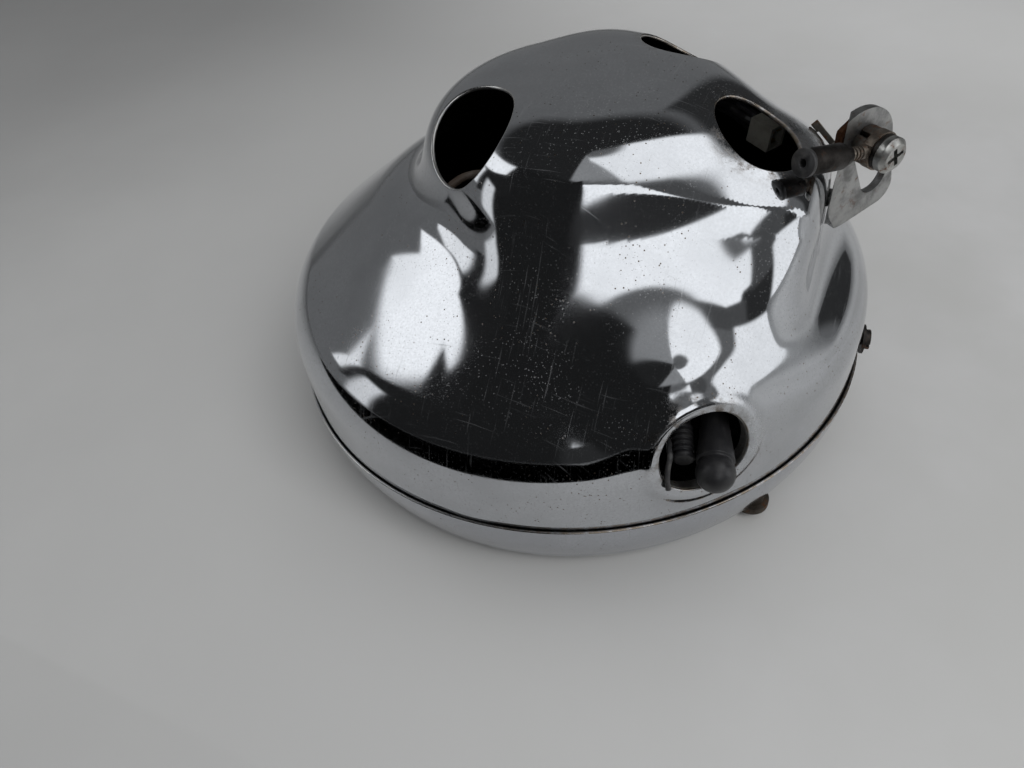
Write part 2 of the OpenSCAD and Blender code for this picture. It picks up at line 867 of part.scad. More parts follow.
// Deep chromed rim: bead, drafted side, rounded corner and flat lip
module rim() {
    pocket_r = aim_head_d / 2 + 0.3;
    notch_w = rim_screw_d + 2 * run_gap;
    color([0.78, 0.79, 0.8])
        difference() {
            union() {
                rotate_extrude($fn = 120)
                    rim_section();
                rotate_extrude($fn = 120)
                    translate([bead_at_r, bead_z])
                        circle(r = bead_r, $fn = 24);
                intersection() {
                    inside_rim();
                    at_turn(aim_turn, aim_arm, 0) {
                        cylinder(h = seat_z + seat_t, r = pocket_r + 0.8, $fn = 48);
                        cylinder(h = post_top, r = post_r, $fn = 48);
                    }
                }
            }
            at_turn(aim_turn, aim_arm, 0) {
                translate([0, 0, -1])
                    cylinder(h = seat_z + 1, r = pocket_r, $fn = 48);
                cylinder(h = post_top + 1, d = aim_d + 2 * run_gap, $fn = 48);
            }
            at_turn(fastener_turn, 0, screw_z) {
                rod_x(shell_r - wall_cut / 2, wall_cut, notch_w);
                translate([shell_r - wall_cut / 2, 0.04 - notch_w / 2, 0])
                    cube([wall_cut, notch_w - 0.08, notch_w]);
            }
        }
}

// Hook on the rim that reaches into the bucket's slot, opposite the screw
module rim_hook() {
    foot_z = seam_z - 10;
    foot = rim_side(foot_z, 0)[0] + gap;
    foot_top = rim_side(foot_z + 4.5, 0)[0] + gap;
    tip = shell_r - shell_wall - 4;
    color([0.7, 0.71, 0.72])
        rotate([0, 0, fastener_turn + 180])
            translate([0, hook_w / 2, 0])
                rotate([90, 0, 0])
                    linear_extrude(hook_w)
                        polygon([
                            [foot, foot_z],
                            [foot + hook_t, foot_z],
                            [proud_r, seam_z - 3.6],
                            [proud_r, hook_axis_z + hook_t / 2],
                            [tip, hook_axis_z + hook_t / 2],
                            [tip, hook_axis_z - hook_t / 2],
                            [proud_r - hook_t, hook_axis_z - hook_t / 2],
                            [proud_r - hook_t, seam_z - 3.2],
                            [foot_top, foot_z + 4.5]
                        ]);
}

// Places its children on the rim screw's axis, X outward
module on_rim_screw() {
    at_turn(fastener_turn, 0, screw_z)
        children();
}

module rim_screw() {
    head = washer_r_at + washer_t + gap;
    head_h = proud_r - head;
    start = shell_r - shell_wall - 5.4;
    color([0.12, 0.12, 0.12])
        on_rim_screw()
            difference() {
                union() {
                    rod_x(start, head - start + eps, rim_screw_d);
                    rod_x(head, head_h, rim_screw_head_d);
                }
                translate([proud_r - 1, -rim_screw_head_d, -0.5])
                    cube([2, 2 * rim_screw_head_d, 1]);
            }
}

module rim_washer() {
    color([0.15, 0.15, 0.15])
        on_rim_screw()
            ring_x(washer_r_at, washer_t, rim_washer_d, rim_screw_d + 0.3);
}

// Square nut behind the bucket's skirt
module rim_nut() {
    color([0.5, 0.5, 0.48])
        on_rim_screw()
            difference() {
                translate([shell_r - shell_wall - 4.6, -3.5, -3.5])
                    cube([3.2, 7, 7]);
                rod_x(shell_r - wall_cut, wall_cut, rim_screw_d + 2 * gap);
            }
}

// Two lugs inside the rim that carry the tilt pivots
module pivot_lugs() {
    foot = rim_side(tilt_z + lug_foot_h, rim_wall)[0] - 0.17;
    color([0.5, 0.5, 0.48])
        for (s = [90, -90])
            rotate([0, 0, aim_turn + s])
                difference() {
                    union() {
                        translate([pivot_lug_r, -ear_w / 2, tilt_z - 4])
                            cube([lug_t, ear_w, lug_foot_h + lug_t + 4]);
                        translate([pivot_lug_r, -ear_w / 2, tilt_z + lug_foot_h])
                            cube([foot - pivot_lug_r, ear_w, lug_t]);
                    }
                    translate([0, 0, tilt_z])
                        rod_x(pivot_lug_r - 2, 6, pivot_d + 2 * gap);
                }
}

module pivot_pins() {
    color([0.6, 0.6, 0.58])
        for (s = [90, -90])
            rotate([0, 0, aim_turn + s])
                translate([0, 0, tilt_z]) {
                    rod_x(pivot_ear_r - 1.6, pivot_lug_r - pivot_ear_r + 4.1, pivot_d);
                    rod_x(pivot_ear_r - 2.8, 1.4, pivot_d + 1.6);
                }
}

// Glass lens, a shallow dome with a flat edge
function dome(r, inset) = lens_z - lens_crown + lens_curve_r
    - sqrt(pow(lens_curve_r - inset, 2) - r * r);

module lens() {
    steps = 16;
    color([0.85, 0.9, 0.92, 0.5])
        rotate_extrude($fn = 120)
            polygon(concat(
                [for (i = [0 : steps]) [lens_dome_r * i / steps, dome(lens_dome_r * i / steps, 0)]],
                [[lens_r, lens_z], [lens_r, lens_top], [lens_dome_r, lens_top]],
                [for (i = [steps - 1 : -1 : 0])
                    [lens_dome_r * i / steps, dome(lens_dome_r * i / steps, lens_t)]]
            ));
}

module lens_gasket() {
    color([0.08, 0.08, 0.08])
        rotate_extrude($fn = 120)
            translate([dish_r + 0.3, lens_top + gap])
                square([lens_r - dish_r - 0.3, gasket_t - 2 * gap]);
}

// Parabolic dish with a flange at the lens and a collar for the bulb
function dish(r, lift) = dish_top - r * r / (4 * focal_l) - reflector_t + lift;

module reflector() {
    flange_z = reflector_z;
    color([0.85, 0.85, 0.87])
        rotate_extrude($fn = 120)
            polygon(concat(
                [[lens_r, flange_z]],
                [for (i = [0 : dish_steps])
                    let (r = dish_r + (collar_r - dish_r) * i / dish_steps)
                    [r, dish(r, 0)]],
                [
                    [collar_r, collar_z],
                    [collar_r + collar_lip, collar_z],
                    [collar_r + collar_lip, collar_z - reflector_t],
                    [collar_r + reflector_t, collar_z - reflector_t]
                ],
                [for (i = [dish_steps : -1 : 0])
                    let (r = dish_r + (collar_r + reflector_t - dish_r) * i / dish_steps)
                    [r, dish(r, reflector_t)]],
                [[lens_r, flange_z + reflector_t]]
            ));
}

// Pressed ring that holds the lens and the reflector and carries the pivots and the beam nut
module unit_ring() {
    color([0.45, 0.46, 0.47])
        difference() {
            union() {
                rotate_extrude($fn = 120)
                    polygon([
                        [lens_dome_r + 0.1, ring_front],
                        [ring_out, ring_front],
                        [ring_out, ring_z],
                        [ring_flange_r, ring_z],
                        [ring_flange_r, ring_z + ring_t],
                        [ring_in, ring_z + ring_t],
                        [ring_in, ring_front + ring_t],
                        [lens_dome_r + 0.1, ring_front + ring_t]
                    ]);
                rotate([0, 0, aim_turn])
                    translate([ring_flange_r - 1, -4, ring_z + eps])
                        cube([aim_arm + ear_r - ring_flange_r + 1, 8, ring_t - 2 * eps]);
                for (s = [90, -90])
                    rotate([0, 0, aim_turn + s])
                        translate([pivot_ear_r - 0.6, -ear_w / 2, ring_z + eps])
                            cube([ring_t, ear_w, tilt_z - ring_z + 3]);
            }
            at_turn(aim_turn, aim_arm, ring_z - 1)
                cylinder(h = 3, d = aim_d + 0.8, $fn = 48);
            for (s = [90, -90])
                rotate([0, 0, aim_turn + s])
                    translate([0, 0, tilt_z])
                        rod_x(pivot_ear_r - 3, 6, pivot_d + 2 * run_gap);
        }
}

// Four spring clips that press the reflector's flange to the lens
module ring_clips() {
    clip_w = 7;
    t = 0.6;
    top = ring_z + ring_t + 0.1;
    color([0.4, 0.4, 0.42])
        for (a = [45 : 90 : 315])
            rotate([0, 0, aim_turn + a])
                translate([0, clip_w / 2, 0])
                    rotate([90, 0, 0])
                        linear_extrude(clip_w)
                            polygon([
                                [dish_r + 0.6, reflector_z + reflector_t + gap],
                                [dish_r + 1.2, reflector_z + reflector_t + gap],
                                [dish_r + 1.8, top],
                                [ring_flange_r + 0.1, top],
                                [ring_flange_r + 0.1, ring_z - 0.1],
                                [ring_out + 1, ring_z - 0.1],
                                [ring_out + 1, ring_z - 0.1 - t],
                                [ring_flange_r + 0.1 + t, ring_z - 0.1 - t],
                                [ring_flange_r + 0.1 + t, top + t],
                                [dish_r + 1.4, top + t]
                            ]);
}

// Places its children on the beam screw's axis
module on_aim() {
    at_turn(aim_turn, aim_arm, 0)
        children();
}

module aim_screw() {
    color([0.45, 0.36, 0.28])
        on_aim()
            difference() {
                union() {
                    translate([0, 0, seat_z - gap - eps])
                        cylinder(h = aim_shank_l + gap, d = aim_d, $fn = 48);
                    translate([0, 0, seat_z - gap - aim_head_h * 0.5])
                        cylinder(h = aim_head_h * 0.5, d = aim_head_d, $fn = 48);
                    translate([0, 0, seat_z - gap - aim_head_h])
                        cylinder(h = aim_head_h * 0.5, d1 = aim_head_d * 0.6, d2 = aim_head_d, $fn = 48);
                }
                for (a = [0, 90])
                    rotate([0, 0, a])
                        translate([-2, -0.5, seat_z - gap - aim_head_h - 1])
                            cube([4, 1, 2.4]);
            }
}

// Coil spring between the rim's post and the unit ring's ear
spring_steps = 14;
spring_low = post_top + spring_wire_r + gap;
spring_high = ring_z - spring_wire_r - gap;
function coil_point(i) =
    let (a = 360 * i / spring_steps)
    [
        spring_r * cos(a),
        spring_r * sin(a),
        spring_low + (spring_high - spring_low) * i / (spring_steps * spring_turns)
    ];
coil = [for (i = [0 : spring_steps * spring_turns]) coil_point(i)];
function coil_gap() = min([
    for (i = [0 : len(coil) - spring_steps])
        min([for (j = [i + floor(spring_steps * 0.7) : len(coil) - 1]) norm(coil[i] - coil[j])])
]) - 2 * spring_wire_r;

module aim_spring() {
    echo(least_gap_of_spring = coil_gap());
    color([0.6, 0.6, 0.58])
        on_aim()
            swept(coil, spring_wire_r, 6);
}

module aim_nut() {
    color([0.9, 0.9, 0.85])
        on_aim()
            difference() {
                translate([0, 0, ring_z + ring_t + gap])
                    cylinder(h = aim_nut_h, r = nut_r, $fn = 48);
                translate([0, 0, ring_z])
                    cylinder(h = aim_nut_h + 4, d = aim_d + 2 * wide_gap, $fn = 48);
            }
}

// Bulb: glass envelope, filament frame, stepped base and three blades
module bulb_glass() {
    low = base_z - base_barrel_h - glass_l;
    sunk = glass_r / 2 - gap;
    color([0.9, 0.92, 0.95, 0.4])
        rotate_extrude($fn = 48)
            difference() {
                union() {
                    translate([0, low + glass_r])
                        circle(r = glass_r, $fn = 48);
                    translate([0, low + glass_r])
                        square([glass_r, glass_l - glass_r + sunk]);
                }
                union() {
                    translate([0, low + glass_r])
                        circle(r = glass_r - 0.8, $fn = 48);
                    translate([0, low + glass_r])
                        square([glass_r - 0.8, glass_l - glass_r + sunk + 1]);
                }
                translate([-2 * glass_r, low - glass_r])
                    square([2 * glass_r, 3 * glass_l]);
            }
}

module bulb_filament() {
    post_h = 8;
    post_x = 3;
    foot = base_z - base_barrel_h - glass_l / 4 - post_h;
    color([0.5, 0.5, 0.5])
        for (s = [-1, 1])
            translate([s * post_x, 0, foot]) {
                cylinder(h = post_h + glass_l / 4 + glass_r / 2 - gap, d = 0.9, $fn = 16);
                rotate([0, -90 * s, 0])
                    cylinder(h = post_x - 0.2, d = 0.7, $fn = 16);
            }
}

module bulb_base() {
    color([0.7, 0.68, 0.62])
        difference() {
            union() {
                translate([0, 0, base_z])
                    cylinder(h = base_t, r = base_r, $fn = 64);
                translate([0, 0, base_z - base_barrel_h])
                    cylinder(h = base_barrel_h + eps, r = collar_r - 2, $fn = 64);
            }
            translate([0, 0, base_z - base_barrel_h - 1])
                cylinder(h = 1 + glass_r / 2, r = glass_r + gap, $fn = 48);
        }
}

module bulb_blades() {
    color([0.75, 0.7, 0.5])
        for (a = [0, 120, 240])
            rotate([0, 0, a])
                translate([-3, 5, base_z + base_t + gap])
                    cube([6, 0.8, 9]);
}

// Wire clip over the bulb's base
module bulb_clip() {
    wire = 0.7;
    z = base_z + base_t + wire + gap;
    color([0.6, 0.6, 0.6])
        translate([0, 0, z])
            rotate([0, 0, 20])
                rotate_extrude(angle = 320, $fn = 64)
                    translate([base_r - 1.6, 0])
                        circle(r = wire, $fn = 16);
}

// Rubber boot over the collar and round the plug
module dust_boot() {
    foot = collar_r + collar_lip + 0.3;
    top = plug_z + 8;
    color([0.07, 0.07, 0.07])
        rotate_extrude($fn = 64)
            polygon([
                [foot, collar_z - 4],
                [foot + 1.5, collar_z - 4],
                [foot + 1.5, base_z + 3.4],
                [plug_r + 1.8, top],
                [plug_r + 1.8, top + 3],
                [plug_r + 0.2, top + 3],
                [plug_r + 0.2, top - 0.8],
                [foot, base_z + 2.8]
            ]);
}

module bulb_plug() {
    color([0.13, 0.13, 0.13])
        difference() {
            translate([0, 0, plug_z])
                cylinder(h = plug_l, r = plug_r, $fn = 48);
            for (a = [0, 120, 240])
                rotate([0, 0, a])
                    translate([-3.4, 4.6, plug_z - 1])
                        cube([6.8, 1.6, 10.5]);
        }
}

// Three leads from the plug to the connector
function connector_axis() = heading(connector_turn[2], -connector_turn[1]);
function connector_across() = heading(connector_turn[2] + 90, 0);
function way_end(way, back) =
    connector_at - (connector_size[0] / 2 + back) * connector_axis()
    + way[3] * connector_across() + way[2] * cross(connector_axis(), connector_across());
function way_mid(way, i) =
    let (t = (i + 1) / (len(plug_lead_mid) + 1))
    plug_lead_mid[i]
    + (1 - t) * [way[0] - plug_ways_x, way[1], 0]
    + t * (way[3] * connector_across() + [0, 0, way[2]]);
function way_run(way) = concat(
    [[way[0], way[1], plug_top + gap], [way[0], way[1], plug_top + gap + 2.6]],
    [for (i = [0 : len(plug_lead_mid) - 1]) way_mid(way, i)],
    [way_end(way, 3), way_end(way, gap)]
);

module plug_leads() {
    color([0.1, 0.1, 0.12])
        for (way = plug_ways)
            swept(way_run(way), lead_d / 2, 8);
}

// Off-white connector that shows in the right cable hole
module in_connector() {
    translate(connector_at)
        rotate(connector_turn)
            children();
}

module connector() {
    inner = connector_size - [0, 2 * connector_wall, 2 * connector_wall];
    color([0.82, 0.81, 0.74])
        in_connector()
            difference() {
                translate(-connector_size / 2)
                    cube(connector_size);
                translate([1, -inner[1] / 2, -inner[2] / 2])
                    cube(inner);
            }
}

module connector_pins() {
    color([0.7, 0.6, 0.3])
        in_connector()
            for (way = plug_ways)
                translate([1 + gap, way[3] - 0.7, way[2] - 0.25])
                    cube([2.2, 1.4, 0.5]);
}

// Places its children on a sleeve's axis, Z from the nose inward
module on_sleeve(at, dir) {
    translate(at)
        rotate([0, 0, dir[0]])
            rotate([0, 90 - dir[1], 0])
                children();
}
function along_sleeve(at, dir, t) = at + t * heading(dir[0], dir[1]);

// Long rubber sleeve that lies over the boss hole's lower edge, nose outside
module sleeve_long() {
    bore = lead_d / 2 + gap;
    color([0.05, 0.05, 0.05])
        on_sleeve(sleeve_at, sleeve_dir)
            rotate_extrude($fn = 48)
                polygon(concat(
                    [[0, -nose_r]],
                    [for (a = [-75 : 15 : 30]) [nose_r * cos(a), nose_r * sin(a)]],
                    [
                        [nose_r - 0.7, nose_r / 2 + 0.1],
                        [nose_r - 0.7, nose_r / 2 + 0.6],
                        [nose_r - 0.1, nose_r / 2 + 1],
                        [nose_r - 1, 12],
                        [nose_r - 1.8, 20],
                        [bore + 1, sleeve_l],
                        [bore, sleeve_l],
                        [bore, sleeve_l - sleeve_bore_l],
                        [0, sleeve_l - sleeve_bore_l]
                    ]
                ));
}

// Short ribbed sleeve beside it
module sleeve_short() {
    bore = lead_d / 2 + gap;
    color([0.06, 0.06, 0.06])
        on_sleeve(short_sleeve_at, short_sleeve_dir)
            rotate_extrude($fn = 48)
                polygon(concat(
                    [[0, -1], [short_sleeve_r - 0.7, -1]],
                    [for (i = [0 : 11]) [short_sleeve_r - (i % 2 == 0 ? 0 : 0.5), -0.4 + i * 0.9]],
                    [
                        [short_sleeve_r - 0.5, short_sleeve_l],
                        [bore, short_sleeve_l],
                        [bore, short_sleeve_l - sleeve_bore_l],
                        [0, short_sleeve_l - sleeve_bore_l]
                    ]
                ));
}

// Leads from the two sleeves across the inside to their joint
function sleeve_run(at, dir, l, mid) = concat(
    [along_sleeve(at, dir, l - sleeve_bore_l + gap), along_sleeve(at, dir, l), along_sleeve(at, dir, l + 3)],
    mid,
    [[joint_at[0] + joint_size[0] / 2 + gap, mid[len(mid) - 1][1], mid[len(mid) - 1][2]]]
);

module sleeve_leads() {
    color([0.08, 0.08, 0.1]) {
        swept(sleeve_run(sleeve_at, sleeve_dir, sleeve_l, sleeve_lead_mid), lead_d / 2, 8);
        swept(sleeve_run(short_sleeve_at, short_sleeve_dir, short_sleeve_l, short_lead_mid), lead_d / 2, 8);
    }
}

// Joint where the two leads meet the lead that hangs behind the left hole
module lead_joint() {
    color([0.12, 0.12, 0.12])
        translate(joint_at - joint_size / 2)
            cube(joint_size);
}

module hanging_lead() {
    start = [joint_at[0] - joint_size[0] / 2 - gap, hanging_run[0][1], hanging_run[0][2]];
    color([0.2, 0.18, 0.17])
        swept(concat([start], hanging_run), lead_d / 2, 8);
}

// Bullet terminal on the hanging lead's end
module bullet_end() {
    last = hanging_run[len(hanging_run) - 1];
    color([0.6, 0.55, 0.4])
        translate(last) {
            rod_x(gap, 6, lead_d + 1);
            translate([6, 0, 0])
                rotate([0, 90, 0])
                    cylinder(h = 3, d1 = lead_d + 1, d2 = lead_d - 0.6, $fn = 48);
        }
}

// Tail of a tie, out to the boss hole's lower edge
module tie_tail() {
    color([0.1, 0.1, 0.09])
        swept(tie_run, tie_r, 8);
}

housing();
bracket();
bracket_rivets();
stay_tab();
clamp_screw();
front_washer();
spring_washer();
back_washer();
clamp_nut();
eye_bolt();
barrel_nut();
barrel_cap();
rim();
rim_hook();
rim_screw();
rim_washer();
rim_nut();
pivot_lugs();
pivot_pins();
lens();
lens_gasket();
reflector();
unit_ring();
ring_clips();
aim_screw();
aim_spring();
aim_nut();
bulb_glass();
bulb_filament();
bulb_base();
bulb_blades();
bulb_clip();
dust_boot();
bulb_plug();
plug_leads();
connector();
connector_pins();
sleeve_long();
sleeve_short();
sleeve_leads();
lead_joint();
hanging_lead();
bullet_end();
tie_tail();
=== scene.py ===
"""Looks, light and camera of a used chromed motorcycle headlight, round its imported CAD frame."""

import json
import math

import bmesh
import bpy
import numpy as np
from mathutils import Matrix, Vector

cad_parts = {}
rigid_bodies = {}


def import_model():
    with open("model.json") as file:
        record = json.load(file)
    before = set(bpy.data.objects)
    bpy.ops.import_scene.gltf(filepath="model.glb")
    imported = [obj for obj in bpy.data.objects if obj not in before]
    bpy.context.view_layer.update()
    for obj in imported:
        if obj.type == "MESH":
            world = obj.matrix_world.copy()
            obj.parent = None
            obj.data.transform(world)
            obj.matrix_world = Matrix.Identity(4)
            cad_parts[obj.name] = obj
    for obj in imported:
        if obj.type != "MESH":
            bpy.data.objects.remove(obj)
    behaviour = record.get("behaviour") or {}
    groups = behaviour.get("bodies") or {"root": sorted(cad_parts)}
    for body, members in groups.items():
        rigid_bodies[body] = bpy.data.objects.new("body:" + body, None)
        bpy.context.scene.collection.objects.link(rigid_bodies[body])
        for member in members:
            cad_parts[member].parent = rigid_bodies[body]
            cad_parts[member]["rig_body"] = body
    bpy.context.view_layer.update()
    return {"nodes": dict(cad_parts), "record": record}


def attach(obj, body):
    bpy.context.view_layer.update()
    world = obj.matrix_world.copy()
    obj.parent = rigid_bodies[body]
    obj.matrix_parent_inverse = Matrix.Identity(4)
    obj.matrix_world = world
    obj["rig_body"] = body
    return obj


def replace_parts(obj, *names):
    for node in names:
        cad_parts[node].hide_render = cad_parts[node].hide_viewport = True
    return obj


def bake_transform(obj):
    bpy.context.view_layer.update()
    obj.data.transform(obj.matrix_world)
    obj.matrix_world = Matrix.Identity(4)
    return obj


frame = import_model()
nodes = frame["nodes"]

# Lengths below are in millimetres, and places are in the part's own frame, Z up from the floor.
MM = 0.001

# Bucket
SEAM_Z = 26.0
SHELL_R = 94.8
SHELL_WALL = 1.2
SKIRT_DEPTH = 2.4
BELT_H, BELT_ROUND, BOWL_SLOPE = 16.1, 23.6, 35.4
BOWL_CAP_H = 62.0
CAP_BLEND = 10.0
CROWN_X, CROWN_Y, CROWN_R, CROWN_H = 6.2, -2.7, 46.6, 86.7
CROWN_ROUND, CROWN_DRAFT, CROWN_REF_H = 26.9, 1.4, 60.0
NECK_ROOT_X, NECK_ROOT_R, NECK_ROOT_DROP = 3.8, 91.8, 9.4
NECK_REACH, NECK_END_R, NECK_END_H, NECK_END_Y = 76.9, 40.6, 32.2, -3.3
NECK_END_ROUND, NECK_BACK_BLEND = 17.0, 20.0
BOSS_TURN, BOSS_ROOT_REACH, BOSS_REACH = -47.5, 47.0, 78.5
BOSS_ROOT_R, BOSS_R, BOSS_ROOT_H, BOSS_H = 24.0, 21.0, 28.0, 25.0
BOSS_TRIM = 1.8
NECK_BLEND, BOSS_BLEND, SHELL_BLEND = 19.6, 12.0, 10.0
CREASE_TURN, CREASE_WIDTH, CREASE_FADE, CREASE_H = 52.0, 8.5, 30.0, 1.4

# Cable holes: centre above the seam, direction it faces, turn of its long axis, length and width
HOLES = {
    "left": ((-13.3, -29.4, 81.1), (-128, 60, 59), (34, 27)),
    "right": ((57.6, -8.4, 77.8), (-14, 62, -5), (26, 22)),
    "rear": ((29, 25, 83.5), (55, 64, 0), (25, 25)),
    "boss": ((63.2, -70.8, 24.5), (-50, 13, 0), (24, 24)),
}
CUT_DEPTH = 16.0
# Notches through the skirt: reach to each side of the wall, depth, and room round the hook
CUT_REACH, NOTCH_DEPTH, HOOK_ROOM, HOOK_SLOT_H = 6.0, 9.0, 1.4, 5.0
COLLAR_H, COLLAR_OUT, COLLAR_W = 1.3, 2.6, 2.6
LIP_DEPTH, LIP_T = 3.0, 0.7

# Rim
RIM_WALL, RIM_CORNER, RIM_DRAFT = 0.9, 13.0, 15.5
BEAD_R, LIP_W, SIDE_OUT, RIM_GAP = 0.95, 1.5, 0.3, 0.2
RIM_BULGE, RIM_DROP = 0.7, 0.3
FASTENER_TURN = 8.3
SCREW_Z = SEAM_Z - 1.5
RIM_SCREW_D, RIM_NOTCH_ROOM, BUCKET_NOTCH_ROOM = 4.0, 0.2, 0.8
HOOK_W, HOOK_AXIS_Z = 8.0, SEAM_Z + 4.5
AIM_TURN, AIM_ARM, AIM_HEAD_D = -31.5, 88.0, 9.0
AIM_POCKET_FOOT, AIM_POCKET_TOP, AIM_POCKET_WALL = 3.2, 4.6, 0.45
AIM_BORE_R, AIM_POST_R, AIM_POST_FOOT, AIM_POST_TOP = 1.95, 3.7, 5.5, 8.4

# Adjuster plate's frame
PLATE_X, PLATE_TURN = 79.5, -37.0
SLOT_TOP = (6.0, SEAM_Z + 71.3)
CLAMP_AT = (SLOT_TOP[0] - 1.1, SLOT_TOP[1] + 0.2)
CLAMP_D, CLAMP_HEAD_D = 5.0, 9.2
CLAMP_ROOM = 0.2
WASHER_T, FRONT_WASHER_X, BACK_WASHER_X, BACK_WASHER_R = 1.2, 5.95, -3.45, 5.7

# Sleeves and leads
LEAD_D = 2.4
SLEEVE_AT, SLEEVE_DIR, NOSE_R, SLEEVE_L = (66.9, -73.6, 47.2), (104, 4), 5.0, 26.0
SHORT_AT, SHORT_DIR, SHORT_R, SHORT_L = (57.9, -69.4, 45.0), (108, 4), 3.0, 18.0
JOINT_AT, JOINT_SIZE = (-11.0, -25.15, 91.8), (4.2, 7.4, 5.6)
HANGING_RUN = [
    (-16, -25.1, 91.8), (-20.5, -27, 90.8), (-24.5, -31, 88), (-26.5, -35, 84), (-26, -37.5, 79.5),
    (-22.5, -38, 76), (-16, -37.2, 74), (-8, -36, 73.4), (-1, -36, 73.4),
]
TIE_RUN = [
    (52.5, -65.6, 46.2), (53.9, -69.5, 49.2), (54.8, -73.2, 51.6), (55.8, -75.8, 51.8), (55.8, -77.3, 49.1),
    (56, -78.3, 46.2), (56.8, -79.5, 43.4),
]

# Camera, fitted to the photograph
CAMERA_AT = (81.3, -192.0, 198.0)
CAMERA_PITCH, CAMERA_TURN, CAMERA_ROLL = 44.8318, 30.0, -8.6227
CAMERA_F, FRAME_W = 740.0, 1024.0


def unit(v):
    return v / np.linalg.norm(v, axis=-1, keepdims=True)


def heading(turn, rise):
    """Direction from a turn round Z and a rise, in degrees."""
    t, r = np.radians(turn), np.radians(rise)
    return np.stack([np.cos(t) * np.cos(r), np.sin(t) * np.cos(r), np.sin(r) + 0 * t], -1)


def turned(axis, degrees):
    return np.array(Matrix.Rotation(math.radians(degrees), 3, axis))


# Camera


def make_camera():
    pitch, turn, roll = (math.radians(a) for a in (CAMERA_PITCH, CAMERA_TURN, CAMERA_ROLL))
    ahead = Vector((-math.sin(turn) * math.cos(pitch), math.cos(turn) * math.cos(pitch), -math.sin(pitch)))
    side = Vector((math.cos(turn), math.sin(turn), 0))
    above = side.cross(ahead)
    right = math.cos(roll) * side + math.sin(roll) * above
    up = math.cos(roll) * above - math.sin(roll) * side
    data = bpy.data.cameras.new("camera")
    data.sensor_fit = "HORIZONTAL"
    data.sensor_width = 36.0
    data.lens = data.sensor_width * CAMERA_F / FRAME_W
    data.clip_start = 0.005
    camera = bpy.data.objects.new("camera", data)
    bpy.context.scene.collection.objects.link(camera)
    axes = Matrix((right, up, -ahead)).transposed().to_4x4()
    camera.matrix_world = Matrix.Translation(Vector(CAMERA_AT) * MM) @ axes
    bpy.context.scene.camera = camera


# Materials


class Shade:
    """A material's node tree, with short calls for the nodes used here."""

    def __init__(self, name, color, metallic=0.0, roughness=0.5, **sockets):
        self.material = bpy.data.materials.new(name)
        self.material.use_nodes = True
        self.tree = self.material.node_tree
        self.shader = self.tree.nodes["Principled BSDF"]
        self.shader.inputs["Base Color"].default_value = (*color, 1)
        self.shader.inputs["Metallic"].default_value = metallic
        self.shader.inputs["Roughness"].default_value = roughness
        for socket, value in sockets.items():
            self.shader.inputs[socket.replace("_", " ")].default_value = value
        self.at = self.node("ShaderNodeTexCoord").outputs["Object"]

    def node(self, kind, **settings):
        n = self.tree.nodes.new(kind)
        for key, value in settings.items():
            setattr(n, key, value)
        return n

    def link(self, source, target):
        self.tree.links.new(source, target)

    def stretched(self, scale, turn=(0, 0, 0)):
        """Object coordinates stretched along an axis, for scratches and brushing."""
        n = self.node("ShaderNodeMapping")
        n.inputs["Scale"].default_value = scale
        n.inputs["Rotation"].default_value = [math.radians(a) for a in turn]
        self.link(self.at, n.inputs["Vector"])
        return n.outputs["Vector"]

    def noise(self, scale, detail=4.0, rough=0.55, at=None):
        n = self.node("ShaderNodeTexNoise")
        n.inputs["Scale"].default_value = scale
        n.inputs["Detail"].default_value = detail
        n.inputs["Roughness"].default_value = rough
        self.link(at or self.at, n.inputs["Vector"])
        return n.outputs["Fac"]

    def cells(self, scale, feature="F1", at=None):
        n = self.node("ShaderNodeTexVoronoi", feature=feature)
        n.inputs["Scale"].default_value = scale
        self.link(at or self.at, n.inputs["Vector"])
        return n.outputs["Distance"]

    def ramp(self, value, low, high, at_low=0.0, at_high=1.0):
        n = self.node("ShaderNodeMapRange", interpolation_type="SMOOTHSTEP")
        ends = (("From Min", low), ("From Max", high), ("To Min", at_low), ("To Max", at_high))
        for socket, number in ends:
            n.inputs[socket].default_value = number
        self.link(value, n.inputs["Value"])
        return n.outputs["Result"]

    def maths(self, kind, a, b):
        n = self.node("ShaderNodeMath", operation=kind)
        for socket, value in zip(n.inputs, (a, b)):
            if isinstance(value, (int, float)):
                socket.default_value = value
            else:
                self.link(value, socket)
        return n.outputs[0]

    def mix(self, factor, a, b):
        n = self.node("ShaderNodeMix", data_type="RGBA")
        self.link(factor, n.inputs["Factor"])
        for socket, value in ((n.inputs["A"], a), (n.inputs["B"], b)):
            if isinstance(value, tuple):
                socket.default_value = (*value, 1)
            else:
                self.link(value, socket)
        return n.outputs["Result"]

    def near(self, at, inside, outside):
        """1 within a distance of a point on the object and 0 beyond another, in millimetres."""
        n = self.node("ShaderNodeVectorMath", operation="DISTANCE")
        self.link(self.at, n.inputs[0])
        n.inputs[1].default_value = [c * MM for c in at]
        return self.ramp(n.outputs["Value"], inside * MM, outside * MM, 1.0, 0.0)

    def along(self, way):
        """Distance along a direction, in millimetres."""
        n = self.node("ShaderNodeVectorMath", operation="DOT_PRODUCT")
        self.link(self.at, n.inputs[0])
        n.inputs[1].default_value = [c / MM for c in way]
        return n.outputs["Value"]

    def color(self, value):
        self.link(value, self.shader.inputs["Base Color"])

    def roughness(self, value):
        self.link(value, self.shader.inputs["Roughness"])

    def bump(self, height, distance, strength=1.0):
        n = self.node("ShaderNodeBump")
        n.inputs["Distance"].default_value = distance * MM
        n.inputs["Strength"].default_value = strength
        self.link(height, n.inputs["Height"])
        self.link(n.outputs["Normal"], self.shader.inputs["Normal"])


